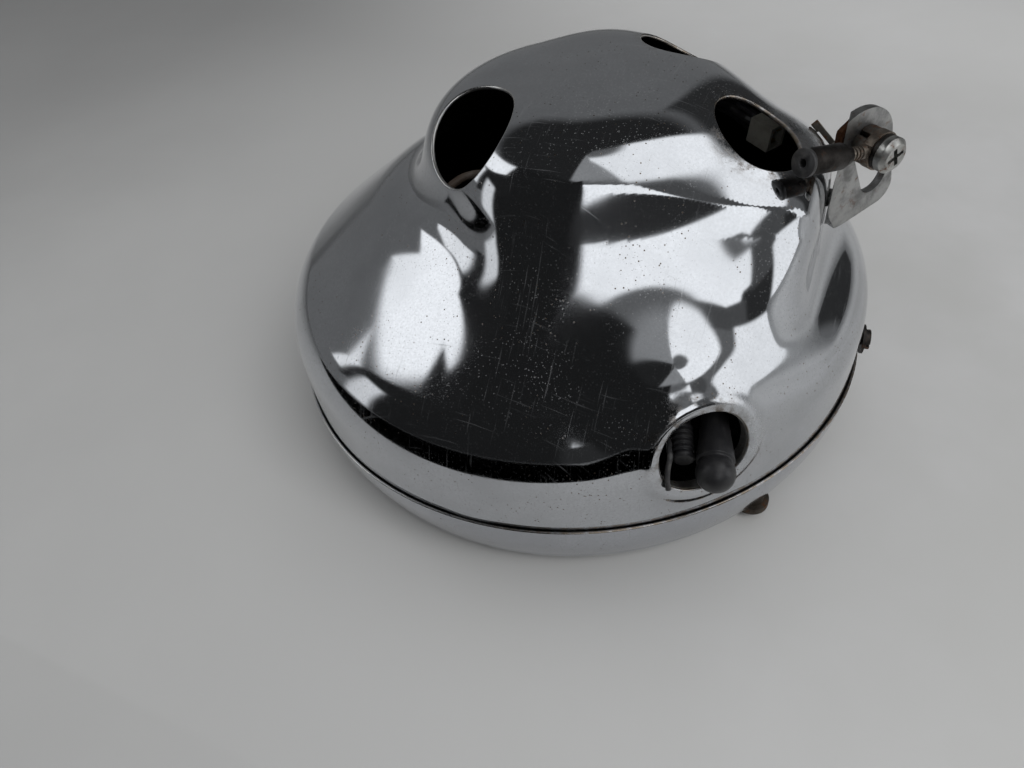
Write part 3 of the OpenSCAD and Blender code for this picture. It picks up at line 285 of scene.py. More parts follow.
def chrome_material(name, color, shine, grime_places, dull_places=()):
    """Old chrome on thin sheet: pits, dust, hairlines, dull patches, brown grime, and a raw dark inside."""
    s = Shade(name, color, metallic=1.0, roughness=shine)
    haze = s.noise(34, 6, 0.62)
    hair_a = s.noise(1900, 2, 0.5, s.stretched((1, 0.03, 0.045), (10, 25, 35)))
    hair_b = s.noise(2300, 2, 0.5, s.stretched((0.028, 1, 0.045), (0, -20, -28)))
    scratches = s.maths("MAXIMUM", s.ramp(hair_a, 0.63, 0.76), s.ramp(hair_b, 0.64, 0.78))
    scratches = s.maths("MULTIPLY", scratches, s.ramp(s.noise(60, 3), 0.38, 0.62))
    pits = s.ramp(s.cells(620), 0.07, 0.17, 1.0, 0.0)
    pits = s.maths("MULTIPLY", pits, s.ramp(s.noise(75, 3), 0.45, 0.57))
    specks = s.ramp(s.cells(1150), 0.09, 0.22, 1.0, 0.0)
    dust = s.maths("MULTIPLY", specks, s.ramp(s.noise(48, 4), 0.42, 0.62, 0.15, 1.0))
    grime = None
    for at, reach in grime_places:
        spot = s.near(at, reach * 0.45, reach)
        grime = spot if grime is None else s.maths("MAXIMUM", grime, spot)
    grime = s.maths("MULTIPLY", grime, s.ramp(s.noise(300, 6, 0.75), 0.44, 0.64))
    spots = s.maths("MAXIMUM", pits, grime)
    grain = s.ramp(s.noise(1400, 3, 0.6), 0.3, 0.7)
    plate = s.mix(grain, tuple(0.88 * c for c in color), color)
    plate = s.mix(s.ramp(haze, 0.35, 0.7), plate, tuple(0.82 * c for c in color))
    outer = s.mix(spots, plate, (0.15, 0.11, 0.075))
    film = s.maths("MAXIMUM", s.maths("MULTIPLY", dust, 0.6), s.maths("MULTIPLY", scratches, 0.2))
    outer = s.mix(film, outer, (0.3, 0.3, 0.3))
    inside = s.node("ShaderNodeAttribute", attribute_name="inside").outputs["Fac"]
    edge = s.maths("MULTIPLY", s.ramp(inside, 0.02, 0.2), s.ramp(s.noise(420, 5, 0.7), 0.34, 0.6, 0.2, 1.0))
    outer = s.mix(edge, outer, s.mix(s.ramp(s.along((1, 0, 0)), -5, 30), (0.6, 0.59, 0.57), (0.3, 0.25, 0.2)))
    s.color(s.mix(s.ramp(inside, 0.5, 0.9), outer, (0.035, 0.032, 0.03)))
    s.link(s.maths("SUBTRACT", 1.0, s.maths("MULTIPLY", film, 0.35)), s.shader.inputs["Metallic"])
    dull = s.maths("ADD", s.ramp(haze, 0.4, 0.75, shine, shine + 0.05), s.maths("MULTIPLY", film, 0.3))
    dull = s.maths("ADD", dull, s.maths("MULTIPLY", spots, 0.35))
    for at, reach in dull_places:
        spot = s.near(at, reach * 0.5, reach)
        worn = s.maths("MULTIPLY", spot, s.ramp(s.noise(240, 5, 0.7), 0.3, 0.65, 0.1, 0.3))
        dull = s.maths("ADD", dull, worn)
    s.roughness(s.maths("ADD", dull, s.maths("MULTIPLY", inside, 0.45)))
    height = s.maths("ADD", s.maths("MULTIPLY", scratches, -0.1), s.maths("MULTIPLY", spots, -0.3))
    s.bump(height, 0.01)
    return s.material


def steel_material(name, color, worn, rust, shine=0.34, grain=(1, 1, 1)):
    """Bare or plated steel: brushed grain, darker stains, and rust where noise gathers it."""
    s = Shade(name, color, metallic=1.0, roughness=shine)
    stains = s.ramp(s.noise(180, 6, 0.68), 0.35, 0.7)
    rusty = s.ramp(s.noise(330, 6, 0.72), 0.62 - rust * 0.25, 0.78 - rust * 0.2)
    brushed = s.noise(1500, 3, 0.6, s.stretched(grain))
    base = s.mix(stains, color, tuple(c * (1 - worn) for c in color))
    s.color(s.mix(rusty, base, (0.2, 0.095, 0.05)))
    s.roughness(s.maths("ADD", s.ramp(stains, 0, 1, shine, shine + 0.22), s.maths("MULTIPLY", rusty, 0.3)))
    s.bump(s.maths("ADD", brushed, s.maths("MULTIPLY", rusty, 0.8)), 0.05, 0.7)
    return s.material


def soft_material(name, color, dusty, shine, bump=0.05):
    """Rubber or plastic: a little dust and mottle, and a fine moulded skin."""
    s = Shade(name, color, roughness=shine)
    dust = s.ramp(s.noise(210, 6, 0.7), 0.45, 0.8, 0.0, 0.8)
    s.color(s.mix(dust, color, dusty))
    s.roughness(s.ramp(s.noise(420, 4), 0.3, 0.7, shine - 0.08, shine + 0.12))
    s.bump(s.noise(1900, 3, 0.6), bump, 0.6)
    return s.material


def glass_material(name, tint, roughness=0.03):
    s = Shade(name, tint, roughness=roughness, IOR=1.5, Transmission_Weight=1.0)
    s.roughness(s.ramp(s.noise(120, 4), 0.35, 0.75, roughness, roughness + 0.08))
    return s.material


def make_materials():
    grime_on_bucket = [
        ((57.6, -8.4, 103.8), 19), ((29, 25, 109.5), 17), ((74.5, 6, 88), 13), ((61, -71.4, 54), 17),
        ((-13.3, -29.4, 107), 15),
    ]
    worn_on_bucket = [((68, -68, 50), 19), ((-13.3, -29.4, 107), 19), ((66, 0, 100), 14)]
    grime_on_rim = [((94, 14, 25), 9), ((-94, -14, 25), 9), ((75, -46, 4), 9)]
    return {
        "bucket_chrome": chrome_material(
            "bucket_chrome", (0.585, 0.6, 0.625), 0.065, grime_on_bucket, worn_on_bucket
        ),
        "lip_metal": steel_material("lip_metal", (0.5, 0.49, 0.47), 0.25, 0.3, 0.42),
        "rim_chrome": chrome_material("rim_chrome", (0.56, 0.575, 0.61), 0.1, grime_on_rim),
        "bracket_steel": steel_material("bracket_steel", (0.42, 0.42, 0.415), 0.45, 0.25),
        "rivet_steel": steel_material("rivet_steel", (0.4, 0.4, 0.39), 0.4, 0.3),
        "rod_steel": steel_material("rod_steel", (0.26, 0.225, 0.19), 0.5, 0.45, 0.42),
        "blackened_steel": steel_material("blackened_steel", (0.05, 0.045, 0.042), 0.5, 0.2, 0.45),
        "tarnished_steel": steel_material("tarnished_steel", (0.2, 0.185, 0.165), 0.5, 0.6, 0.45),
        "screw_steel": steel_material("screw_steel", (0.52, 0.52, 0.5), 0.4, 0.25, 0.3),
        "dark_steel": steel_material("dark_steel", (0.075, 0.07, 0.066), 0.4, 0.35, 0.42),
        "rusty_steel": steel_material("rusty_steel", (0.15, 0.085, 0.06), 0.4, 0.9, 0.6),
        "ring_steel": steel_material("ring_steel", (0.4, 0.41, 0.42), 0.25, 0.15),
        "aim_steel": steel_material("aim_steel", (0.1, 0.085, 0.07), 0.4, 0.3, 0.5),
        "spring_steel": steel_material("spring_steel", (0.46, 0.46, 0.46), 0.2, 0.1),
        "bulb_metal": steel_material("bulb_metal", (0.5, 0.48, 0.43), 0.25, 0.05),
        "brass": steel_material("brass", (0.56, 0.42, 0.2), 0.4, 0.1, 0.28),
        "black_plastic": soft_material("black_plastic", (0.02, 0.02, 0.021), (0.09, 0.085, 0.08), 0.42),
        "nylon": soft_material("nylon", (0.66, 0.65, 0.6), (0.42, 0.38, 0.32), 0.45),
        "cream_plastic": soft_material("cream_plastic", (0.5, 0.49, 0.43), (0.24, 0.21, 0.17), 0.45),
        "black_rubber": soft_material("black_rubber", (0.01, 0.01, 0.011), (0.028, 0.027, 0.026), 0.4),
        "black_lead": soft_material("black_lead", (0.016, 0.016, 0.02), (0.06, 0.055, 0.05), 0.4),
        "brown_lead": soft_material("brown_lead", (0.045, 0.034, 0.027), (0.09, 0.08, 0.07), 0.45),
        "reflector_mirror": steel_material("reflector_mirror", (0.82, 0.83, 0.85), 0.1, 0.0, 0.06),
        "lens_glass": glass_material("lens_glass", (0.93, 0.96, 0.96)),
        "bulb_glass": glass_material("bulb_glass", (0.95, 0.97, 1.0), 0.01),
    }


# Mesh helpers


def mesh_object(name, points, faces, slot, body, normals=None):
    """A mesh from points in millimetres, riding on a body, finished with a material slot."""
    mesh = bpy.data.meshes.new(name)
    mesh.from_pydata([tuple(p) for p in np.asarray(points, float) * MM], [], [tuple(f) for f in faces])
    mesh.polygons.foreach_set("use_smooth", [True] * len(mesh.polygons))
    mesh.update()
    if normals is not None:
        mesh.normals_split_custom_set_from_vertices([tuple(n) for n in normals])
    obj = bpy.data.objects.new(name, mesh)
    bpy.context.scene.collection.objects.link(obj)
    mesh.materials.append(materials[slot])
    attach(obj, body)
    return obj


def rounded(profile, radius, steps=4):
    """An open outline with each inner corner rounded."""
    out = [np.array(profile[0], float)]
    for before, at, after in zip(profile, profile[1:], profile[2:]):
        before, at, after = (np.array(p, float) for p in (before, at, after))
        a, b = before - at, after - at
        cut = min(radius, 0.45 * np.linalg.norm(a), 0.45 * np.linalg.norm(b))
        start, end = at + cut * unit(a), at + cut * unit(b)
        for i in range(steps + 1):
            t = i / steps
            out.append((1 - t) ** 2 * start + 2 * t * (1 - t) * at + t * t * end)
    return out + [np.array(profile[-1], float)]


def lathe(name, outline, slot, body, axes, radius=0.25, around=96):
    """A turned piece: outline of (along, radius) pairs about axes = (origin, along, across)."""
    origin, along, across = (np.array(a, float) for a in axes)
    third = np.cross(along, across)
    ring = rounded(outline, radius)
    points, faces = [], []
    for x, r in ring:
        for i in range(around):
            a = 2 * math.pi * i / around
            points.append(origin + x * along + r * (math.cos(a) * across + math.sin(a) * third))
    for k in range(len(ring) - 1):
        for i in range(around):
            j = (i + 1) % around
            faces.append((k * around + i, k * around + j, (k + 1) * around + j, (k + 1) * around + i))
    faces.append(tuple(range(around))[::-1])
    faces.append(tuple((len(ring) - 1) * around + i for i in range(around)))
    obj = mesh_object(name, points, faces, slot, body)
    clean(obj, 35)
    return obj


def clean(obj, angle):
    """Welds doubled points, turns faces outward and keeps edges sharper than the angle crisp."""
    mesh = obj.data
    b = bmesh.new()
    b.from_mesh(mesh)
    bmesh.ops.remove_doubles(b, verts=b.verts, dist=1e-6)
    bmesh.ops.recalc_face_normals(b, faces=b.faces)
    b.to_mesh(mesh)
    b.free()
    mesh.polygons.foreach_set("use_smooth", [True] * len(mesh.polygons))
    mesh.set_sharp_from_angle(angle=math.radians(angle))


def apply_modifiers(obj):
    bpy.context.view_layer.update()
    graph = bpy.context.evaluated_depsgraph_get()
    mesh = bpy.data.meshes.new_from_object(obj.evaluated_get(graph))
    obj.modifiers.clear()
    obj.data = mesh


def softened(node, slot, bevel=0.2, segments=2, angle=30):
    """A CAD node's own shape with its sharp edges broken, in place of the node."""
    source = nodes[node]
    body = source["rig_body"]
    mesh = source.data.copy()
    obj = bpy.data.objects.new(node + "_finished", mesh)
    bpy.context.scene.collection.objects.link(obj)
    b = bmesh.new()
    b.from_mesh(mesh)
    bmesh.ops.remove_doubles(b, verts=b.verts, dist=1e-6)
    bmesh.ops.dissolve_limit(b, angle_limit=math.radians(1.5), verts=b.verts, edges=b.edges)
    b.to_mesh(mesh)
    b.free()
    mesh.polygons.foreach_set("use_smooth", [True] * len(mesh.polygons))
    m = obj.modifiers.new("edges", "BEVEL")
    m.width = bevel * MM
    m.segments = segments
    m.limit_method = "ANGLE"
    m.angle_limit = math.radians(angle)
    m.harden_normals = True
    m.use_clamp_overlap = True
    apply_modifiers(obj)
    obj.data.materials.clear()
    obj.data.materials.append(materials[slot])
    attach(obj, body)
    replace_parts(obj, node)
    return obj


def refinished(obj, finish):
    """Gives a piece its own look in place of its slot's common one."""
    obj.data.materials.clear()
    obj.data.materials.append(materials[finish])
    return obj


def tube(name, run, radius, slot, body, sides=24, fine=6):
    """A round tube along a smooth run of points, as a closed mesh."""
    path = smooth_run(run, fine)
    dirs = unit(np.gradient(path, axis=0))
    side = unit(np.cross(dirs[0], [0, 0, 1]) if abs(dirs[0][2]) < 0.9 else np.cross(dirs[0], [1, 0, 0]))
    points = []
    for at, ahead in zip(path, dirs):
        side = unit(side - ahead * (side @ ahead))
        third = np.cross(ahead, side)
        for i in range(sides):
            a = 2 * math.pi * i / sides
            points.append(at + radius * (math.cos(a) * side + math.sin(a) * third))
    n = len(path)
    faces = [
        (k * sides + i, k * sides + (i + 1) % sides, (k + 1) * sides + (i + 1) % sides, (k + 1) * sides + i)
        for k in range(n - 1)
        for i in range(sides)
    ]
    faces += [tuple(range(sides))[::-1], tuple((n - 1) * sides + i for i in range(sides))]
    obj = mesh_object(name, points, faces, slot, body)
    clean(obj, 50)
    return obj, path


def smooth_run(run, fine):
    """Points on a smooth curve through the run's own points."""
    p = np.array(run, float)
    p = np.vstack([2 * p[0] - p[1], p, 2 * p[-1] - p[-2]])
    out = []
    for i in range(1, len(p) - 2):
        for k in range(fine):
            t = k / fine
            out.append(0.5 * (
                2 * p[i] + (p[i + 1] - p[i - 1]) * t
                + (2 * p[i - 1] - 5 * p[i] + 4 * p[i + 1] - p[i + 2]) * t * t
                + (3 * p[i] - p[i - 1] - 3 * p[i + 1] + p[i + 2]) * t ** 3
            ))
    return np.array(out + [p[-2]])


# The bucket's surface: distances in millimetres above the seam


def smin(a, b, k):
    h = np.maximum(k - np.abs(a - b), 0) / k
    return np.minimum(a, b) - h * h * k / 4


def smax(a, b, k):
    return -smin(-a, -b, k)


def bowl_distance(r, z):
    dr, dz = r - SHELL_R + BELT_ROUND, z - BELT_H
    lean = math.radians(90 - BOWL_SLOPE)
    turn = np.arctan2(dz, dr)
    slope = dr * math.cos(lean) + dz * math.sin(lean) - BELT_ROUND
    return np.where(turn < 0, r - SHELL_R, np.where(turn > lean, slope, np.hypot(dr, dz) - BELT_ROUND))


def round_cone_distance(p, a, b, ra, rb):
    ba = b - a
    l2 = ba @ ba
    rr = ra - rb
    a2 = l2 - rr * rr
    pa = p - a
    y = pa @ ba
    z = y - l2
    q = pa * l2 - y[..., None] * ba
    x2, y2, z2 = (q ** 2).sum(-1), y * y * l2, z * z * l2
    k = np.sign(rr) * rr * rr * x2
    middle = (np.sqrt(x2 * a2 / l2) + y * rr) / l2 - ra
    at_b = np.sqrt(x2 + z2) / l2 - rb
    at_a = np.sqrt(x2 + y2) / l2 - ra
    return np.where(np.sign(z) * a2 * z2 > k, at_b, np.where(np.sign(y) * a2 * y2 < k, at_a, middle))


def crown_distance(p):
    draft = math.radians(CROWN_DRAFT)
    wall = CROWN_R - (p[..., 2] - CROWN_REF_H) * math.tan(draft)
    side = (np.hypot(p[..., 0] - CROWN_X, p[..., 1] - CROWN_Y) - wall) * math.cos(draft)
    return smax(side, p[..., 2] - CROWN_H, CROWN_ROUND)


def smooth_step(value, low, high):
    t = np.clip((value - low) / (high - low), 0, 1)
    return t * t * (3 - 2 * t)


def shoulder_crease(x, turn):
    """The pressed shoulder along the neck's near side, as a rise in millimetres over the plain arch."""
    start = (turn - CREASE_TURN) / CREASE_WIDTH
    rising = np.where(start > 0, 0.15 * start + 0.85 * start * start, 0)
    falling = 1 - smooth_step(turn, CREASE_TURN + 4, CREASE_TURN + 4 + CREASE_FADE)
    rise = np.maximum(smin(rising, falling, 0.16), 0)
    along = smooth_step(x, 8, 24) * (1 - smooth_step(x, 72, 79))
    return CREASE_H * rise * along * ((turn > 0) & (turn < 120))


def neck_distance(p, r):
    t = np.clip((p[..., 0] - NECK_ROOT_X) / (NECK_REACH - NECK_ROOT_X), -0.3, 1.3)
    radius = NECK_ROOT_R + (NECK_END_R - NECK_ROOT_R) * t
    height = -NECK_ROOT_DROP + (NECK_END_H + NECK_ROOT_DROP) * t
    arch = np.hypot(p[..., 1] - NECK_END_Y * t, p[..., 2] - height) - radius
    rooted = smax(arch, NECK_ROOT_X - p[..., 0], NECK_BACK_BLEND)
    ended = smax(rooted, p[..., 0] - NECK_REACH, NECK_END_ROUND)
    return smax(ended, r - SHELL_R + BOSS_TRIM, CAP_BLEND)


def boss_distance(p, r):
    turn = math.radians(BOSS_TURN)
    out = np.array([math.cos(turn), math.sin(turn), 0])
    root = BOSS_ROOT_REACH * out + [0, 0, BOSS_ROOT_H]
    nose = BOSS_REACH * out + [0, 0, BOSS_H]
    cone = round_cone_distance(p, root, nose, BOSS_ROOT_R, BOSS_R)
    return smax(cone, r - SHELL_R + BOSS_TRIM, CAP_BLEND)


def boss_collar(p):
    """The raised ring pressed round the boss's hole, in millimetres over the boss."""
    at, direction, size = HOLES["boss"]
    q = (p - np.array(at)) @ hole_axes(direction)
    out = (np.hypot(q[..., 0], q[..., 1]) - size[0] / 2 - COLLAR_OUT) / COLLAR_W
    return COLLAR_H * np.exp(-out * out) * (1 - smooth_step(np.abs(q[..., 2]), 6, 12))


def bucket_distance(p):
    r = np.hypot(p[..., 0], p[..., 1])
    bowl = smax(bowl_distance(r, p[..., 2]), p[..., 2] - BOWL_CAP_H, CAP_BLEND)
    upper = smin(smin(crown_distance(p), neck_distance(p, r), NECK_BLEND), boss_distance(p, r), BOSS_BLEND)
    t = np.clip((p[..., 0] - NECK_ROOT_X) / (NECK_REACH - NECK_ROOT_X), -0.3, 1.3)
    height = -NECK_ROOT_DROP + (NECK_END_H + NECK_ROOT_DROP) * t
    turn = np.degrees(np.arctan2(p[..., 2] - height, NECK_END_Y * t - p[..., 1]))
    return smin(bowl, upper, SHELL_BLEND) - shoulder_crease(p[..., 0], turn) - boss_collar(p)


def bucket_skin(around, up):
    """Rows of points on the bucket from the skirt's foot to the crown, and their outward normals."""
    turns = np.arange(around) * 360 / around
    rises = np.concatenate([np.linspace(0, 24, up // 3, endpoint=False), np.linspace(24, 89.6, up - up // 3)])
    d = heading(turns[None, :], rises[:, None])
    low, high = np.full(d.shape[:2], 40.0), np.full(d.shape[:2], 125.0)
    for _ in range(30):
        middle = (low + high) / 2
        inside = bucket_distance(d * middle[..., None]) < 0
        low, high = np.where(inside, middle, low), np.where(inside, high, middle)
    points = d * low[..., None]
    step = 0.05
    normals = np.stack([
        bucket_distance(points + step * axis) - bucket_distance(points - step * axis) for axis in np.eye(3)
    ], -1)
    normals = unit(normals)
    flat = heading(turns, 0 * turns)
    skirt = [flat * SHELL_R + [0, 0, -h] for h in (SKIRT_DEPTH, SKIRT_DEPTH / 2)]
    points = np.concatenate([np.stack(skirt), points])
    normals = np.concatenate([np.stack([flat, flat]), normals])
    normals[2] = flat
    return points, normals


# Cuts through sheet


def hole_axes(direction):
    turn, rise, spin = direction
    return turned("Z", turn) @ turned("Y", 90 - rise) @ turned("Z", spin)


def oval_gap(points, at, direction, size):
    """Distance from a cable hole's edge, positive on the sheet that stays."""
    p = (points - np.array(at)) @ hole_axes(direction)
    a, b = size[0] / 2, size[1] / 2
    k1 = np.hypot(p[..., 0] / a, p[..., 1] / b)
    k2 = np.hypot(p[..., 0] / a ** 2, p[..., 1] / b ** 2)
    edge = k1 * (k1 - 1) / np.maximum(k2, 1e-6)
    return np.maximum(edge, np.abs(p[..., 2]) - CUT_DEPTH / 2)


def box_gap(points, turn, low, high):
    """Distance outside an upright box, given in a frame turned round Z."""
    p = points @ turned("Z", turn)
    middle, half = (np.array(low) + high) / 2, (np.array(high) - low) / 2
    q = np.abs(p - middle) - half
    return np.linalg.norm(np.maximum(q, 0), axis=-1) + np.minimum(q.max(-1), 0)


def clipped(points, normals, gap, keep):
    """Quads of a closed-round grid, trimmed where the gap falls below keep."""
    rows, around = gap.shape
    verts, norms = [tuple(p) for p in points.reshape(-1, 3)], [tuple(n) for n in normals.reshape(-1, 3)]
    value = (gap - keep).ravel()
    made = {}

    def crossing(i, j):
        key = (min(i, j), max(i, j))
        if key not in made:
            t = value[i] / (value[i] - value[j])
            p, q = np.array(verts[i]), np.array(verts[j])
            m, n = np.array(norms[i]), np.array(norms[j])
            verts.append(tuple(p + t * (q - p)))
            norms.append(tuple(unit(m + t * (n - m))))
            made[key] = len(verts) - 1
        return made[key]

    faces = []
    for k in range(rows - 1):
        for i in range(around):
            j = (i + 1) % around
            quad = (k * around + i, k * around + j, (k + 1) * around + j, (k + 1) * around + i)
            kept = [value[v] > 0 for v in quad]
            if all(kept):
                faces.append(quad)
            elif any(kept):
                ring = []
                for a, b, in_a, in_b in zip(quad, quad[1:] + quad[:1], kept, kept[1:] + kept[:1]):
                    if in_a:
                        ring.append(a)
                    if in_a != in_b:
                        ring.append(crossing(a, b))
                if len(ring) > 2:
                    faces.append(tuple(ring))
    return np.array(verts), np.array(norms), faces


def sheet(name, verts, norms, faces, wall, slot, body, steps=6):
    """A closed sheet of metal from its outer skin, with every open edge rounded over."""
    used = sorted({v for f in faces for v in f})
    index = {v: i for i, v in enumerate(used)}
    verts, norms = verts[used], norms[used]
    faces = [tuple(index[v] for v in f) for f in faces]
    directed = {}
    for f in faces:
        for a, b in zip(f, f[1:] + f[:1]):
            directed[(a, b)] = True
    border = [(a, b) for a, b in directed if (b, a) not in directed]
    outward = {}
    for a, b in border:
        way = np.cross(verts[b] - verts[a], norms[a])
        for v in (a, b):
            outward[v] = outward.get(v, 0) + way
    half = wall / 2
    points, normals = list(verts), list(norms)
    points += list(verts - wall * norms)
    normals += list(-norms)
    n = len(verts)
    rounds = {}
    for v, way in outward.items():
        way = unit(way - norms[v] * (way @ norms[v]))
        ids = [v]
        for k in range(1, steps):
            a = math.pi * k / steps
            facing = math.sin(a) * way + math.cos(a) * norms[v]
            points.append(verts[v] - half * norms[v] + half * facing)
            normals.append(facing)
            ids.append(len(points) - 1)
        rounds[v] = ids + [n + v]
    all_faces = list(faces) + [tuple(n + v for v in f)[::-1] for f in faces]
    for a, b in border:
        for k in range(steps):
            all_faces.append((rounds[b][k], rounds[a][k], rounds[a][k + 1], rounds[b][k + 1]))
    depth = np.zeros(len(points))
    depth[n:2 * n] = 1
    for ids in rounds.values():
        depth[ids[1:-1]] = np.arange(1, steps) / steps
    obj = mesh_object(name, points, all_faces, slot, body, normals)
    obj.data.attributes.new("inside", "FLOAT", "POINT").data.foreach_set("value", depth)
    return obj


def make_bucket():
    points, normals = bucket_skin(480, 200)
    gap = np.full(points.shape[:2], 1e3)
    for at, direction, size in HOLES.values():
        gap = np.minimum(gap, oval_gap(points, at, direction, size))
    notch = RIM_SCREW_D + BUCKET_NOTCH_ROOM
    top = SCREW_Z - SEAM_Z + notch / 2
    inner, outer = SHELL_R - CUT_REACH, SHELL_R + CUT_REACH
    screw_notch = (inner, -notch / 2, -NOTCH_DEPTH), (outer, notch / 2, top)
    gap = np.minimum(gap, box_gap(points, FASTENER_TURN, *screw_notch))
    slot = HOOK_W + HOOK_ROOM
    low = HOOK_AXIS_Z - SEAM_Z - HOOK_ROOM
    hook_slot = (inner, -slot / 2, low), (outer, slot / 2, low + HOOK_SLOT_H)
    gap = np.minimum(gap, box_gap(points, FASTENER_TURN + 180, *hook_slot))
    verts, norms, faces = clipped(points, normals, gap, SHELL_WALL / 2)
    around = points.shape[1]
    last = (points.shape[0] - 1) * around
    faces.append(tuple(last + i for i in range(around)))
    bucket = sheet("bucket_sheet", verts + [0, 0, SEAM_Z], norms, faces, SHELL_WALL, "bucket_chrome", "shell")
    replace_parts(bucket, "housing")
    make_boss_lip()


def make_boss_lip():
    """The boss hole's edge turned in: a short wall that follows the hole round on the bucket's surface."""
    at, direction, size = HOLES["boss"]
    axes = hole_axes(direction)
    around, steps = 120, 6
    a = np.arange(around) * 2 * math.pi / around
    ring = np.stack([np.cos(a), np.sin(a), 0 * a], -1) @ axes.T
    edge = np.array(at) + size[0] / 2 * ring
    low, high = np.full(around, -CUT_DEPTH / 2), np.full(around, CUT_DEPTH / 2)
    for _ in range(24):
        middle = (low + high) / 2
        inside = bucket_distance(edge + middle[:, None] * axes[:, 2]) < 0
        low, high = np.where(inside, middle, low), np.where(inside, high, middle)
    edge = edge + (low - SHELL_WALL / 2)[:, None] * axes[:, 2] + [0, 0, SEAM_Z]
    rows = [edge - LIP_DEPTH * t * axes[:, 2] for t in np.linspace(0, 1, steps)]
    rows += [row + LIP_T * ring for row in rows[::-1]]
    points = np.concatenate(rows)
    n = len(rows)
    faces = [
        (k * around + i, k * around + (i + 1) % around, after * around + (i + 1) % around, after * around + i)
        for k, after in zip(range(n), [*range(1, n), 0])
        for i in range(around)
    ]
    lip = mesh_object("boss_lip", points, faces, "bucket_chrome", "shell")
    clean(lip, 40)
    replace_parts(refinished(lip, "lip_metal"), "housing")


# Rim


def rim_profile():
    """Points and normals down the rim's outside, from its edge at the seam to the lip."""
    bead_at = SHELL_R + 0.3 + BEAD_R
    bead_z = SEAM_Z - BEAD_R + 0.15
    draft = math.radians(RIM_DRAFT)
    corner_at = bead_at + SIDE_OUT - (bead_z - RIM_CORNER) * math.tan(draft) - RIM_CORNER / math.cos(draft)
    top_r = SHELL_R + RIM_GAP + RIM_WALL
    side_r = corner_at + RIM_CORNER * math.cos(draft)
    side_z = RIM_CORNER - RIM_CORNER * math.sin(draft)
    out = []
    for t in np.linspace(0, 1, 16):
        z = SEAM_Z - RIM_DROP + (side_z - SEAM_Z + RIM_DROP) * t
        bulge = 4 * t * (1 - t)
        r = top_r + (side_r - top_r) * t + RIM_BULGE * bulge
        slope = (side_r - top_r + RIM_BULGE * 4 * (1 - 2 * t)) / (side_z - SEAM_Z + RIM_DROP)
        out.append((np.array([r, z]), unit(np.array([1.0, -slope]))))
    for a in np.linspace(RIM_DRAFT, 90, 28):
        way = np.array([math.cos(math.radians(a)), -math.sin(math.radians(a))])
        out.append((np.array([corner_at, RIM_CORNER]) + RIM_CORNER * way, way))
    out.append((np.array([corner_at - LIP_W + RIM_WALL / 2, 0]), np.array([0.0, -1.0])))
    return out


def make_rim():
    around = 480
    profile = rim_profile()[::-1]
    turns = heading(np.arange(around) * 360 / around, np.zeros(around))
    points = np.stack([turns * p[0] + [0, 0, p[1]] for p, _ in profile])
    normals = np.stack([turns * n[0] + [0, 0, n[1]] for _, n in profile])
    notch = RIM_SCREW_D + RIM_NOTCH_ROOM
    screw_notch = (SHELL_R - CUT_REACH, -notch / 2, SCREW_Z - notch / 2), (SHELL_R + 9, notch / 2, 40)
    gap = box_gap(points, FASTENER_TURN, *screw_notch)
    aim_at = turned("Z", AIM_TURN) @ [AIM_ARM, 0, 0]
    pocket = np.hypot(points[..., 0] - aim_at[0], points[..., 1] - aim_at[1]) - AIM_HEAD_D / 2 - 0.3
    pocket = np.maximum(pocket, points[..., 2] - AIM_POCKET_TOP)
    gap = np.minimum(gap, pocket)
    verts, norms, faces = clipped(points, normals, gap, RIM_WALL / 2)
    rim = sheet("rim_sheet", verts, norms, faces, RIM_WALL, "rim_chrome", "rim")
    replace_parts(rim, "rim")
    axis = (aim_at, (0, 0, 1), (1, 0, 0))
    r = AIM_HEAD_D / 2 + 0.75
    inner = r - AIM_POCKET_WALL
    outline = [
        (AIM_POCKET_FOOT, inner), (AIM_POCKET_TOP, inner), (AIM_POCKET_TOP, AIM_BORE_R), (AIM_POST_TOP, AIM_BORE_R),
        (AIM_POST_TOP, AIM_POST_R), (AIM_POST_FOOT, AIM_POST_R), (AIM_POST_FOOT, r), (AIM_POCKET_FOOT, r),
        (AIM_POCKET_FOOT, inner),
    ]
    pocket_wall = lathe("aim_pocket", outline, "rim_chrome", "rim", axis, 0.1)
    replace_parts(refinished(pocket_wall, "aim_steel"), "rim")


# Adjuster


def plate_axes(x, y, z):
    """Origin at a point of the plate's frame, with its outward, along and up directions."""
    turn = turned("Z", PLATE_TURN)
    return turn @ [x, y, 0] + [PLATE_X, 0, z], turn @ [1, 0, 0], turn @ [0, 1, 0]


def make_clamp():
    axes = plate_axes(0, *CLAMP_AT)
    hole = CLAMP_D / 2 + CLAMP_ROOM
    washers = [
        ("front_washer", FRONT_WASHER_X, CLAMP_HEAD_D / 2, "dark_steel"),
        ("back_washer", BACK_WASHER_X, BACK_WASHER_R, "rusty_steel"),
    ]
    for name, x, r, slot in washers:
        ring = [(x, hole), (x, r), (x + WASHER_T, r), (x + WASHER_T, hole), (x, hole)]
        washer = lathe(name + "_turned", ring, slot, "clamp", axes, 0.15)
        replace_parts(washer, name)


def make_adjuster():
    softened("bracket", "bracket_steel", 0.3, 3)
    softened("bracket_rivets", "rivet_steel", 0.25, 3)
    softened("stay_tab", "tarnished_steel", 0.25, 3)
    softened("clamp_screw", "screw_steel", 0.25, 3)
    softened("spring_washer", "tarnished_steel", 0.2)
    softened("clamp_nut", "rusty_steel", 0.2)
    refinished(softened("eye_bolt", "tarnished_steel", 0.12), "rod_steel")
    refinished(softened("barrel_nut", "tarnished_steel", 0.3, 3), "blackened_steel")
    softened("barrel_cap", "black_plastic", 0.15)
    make_clamp()


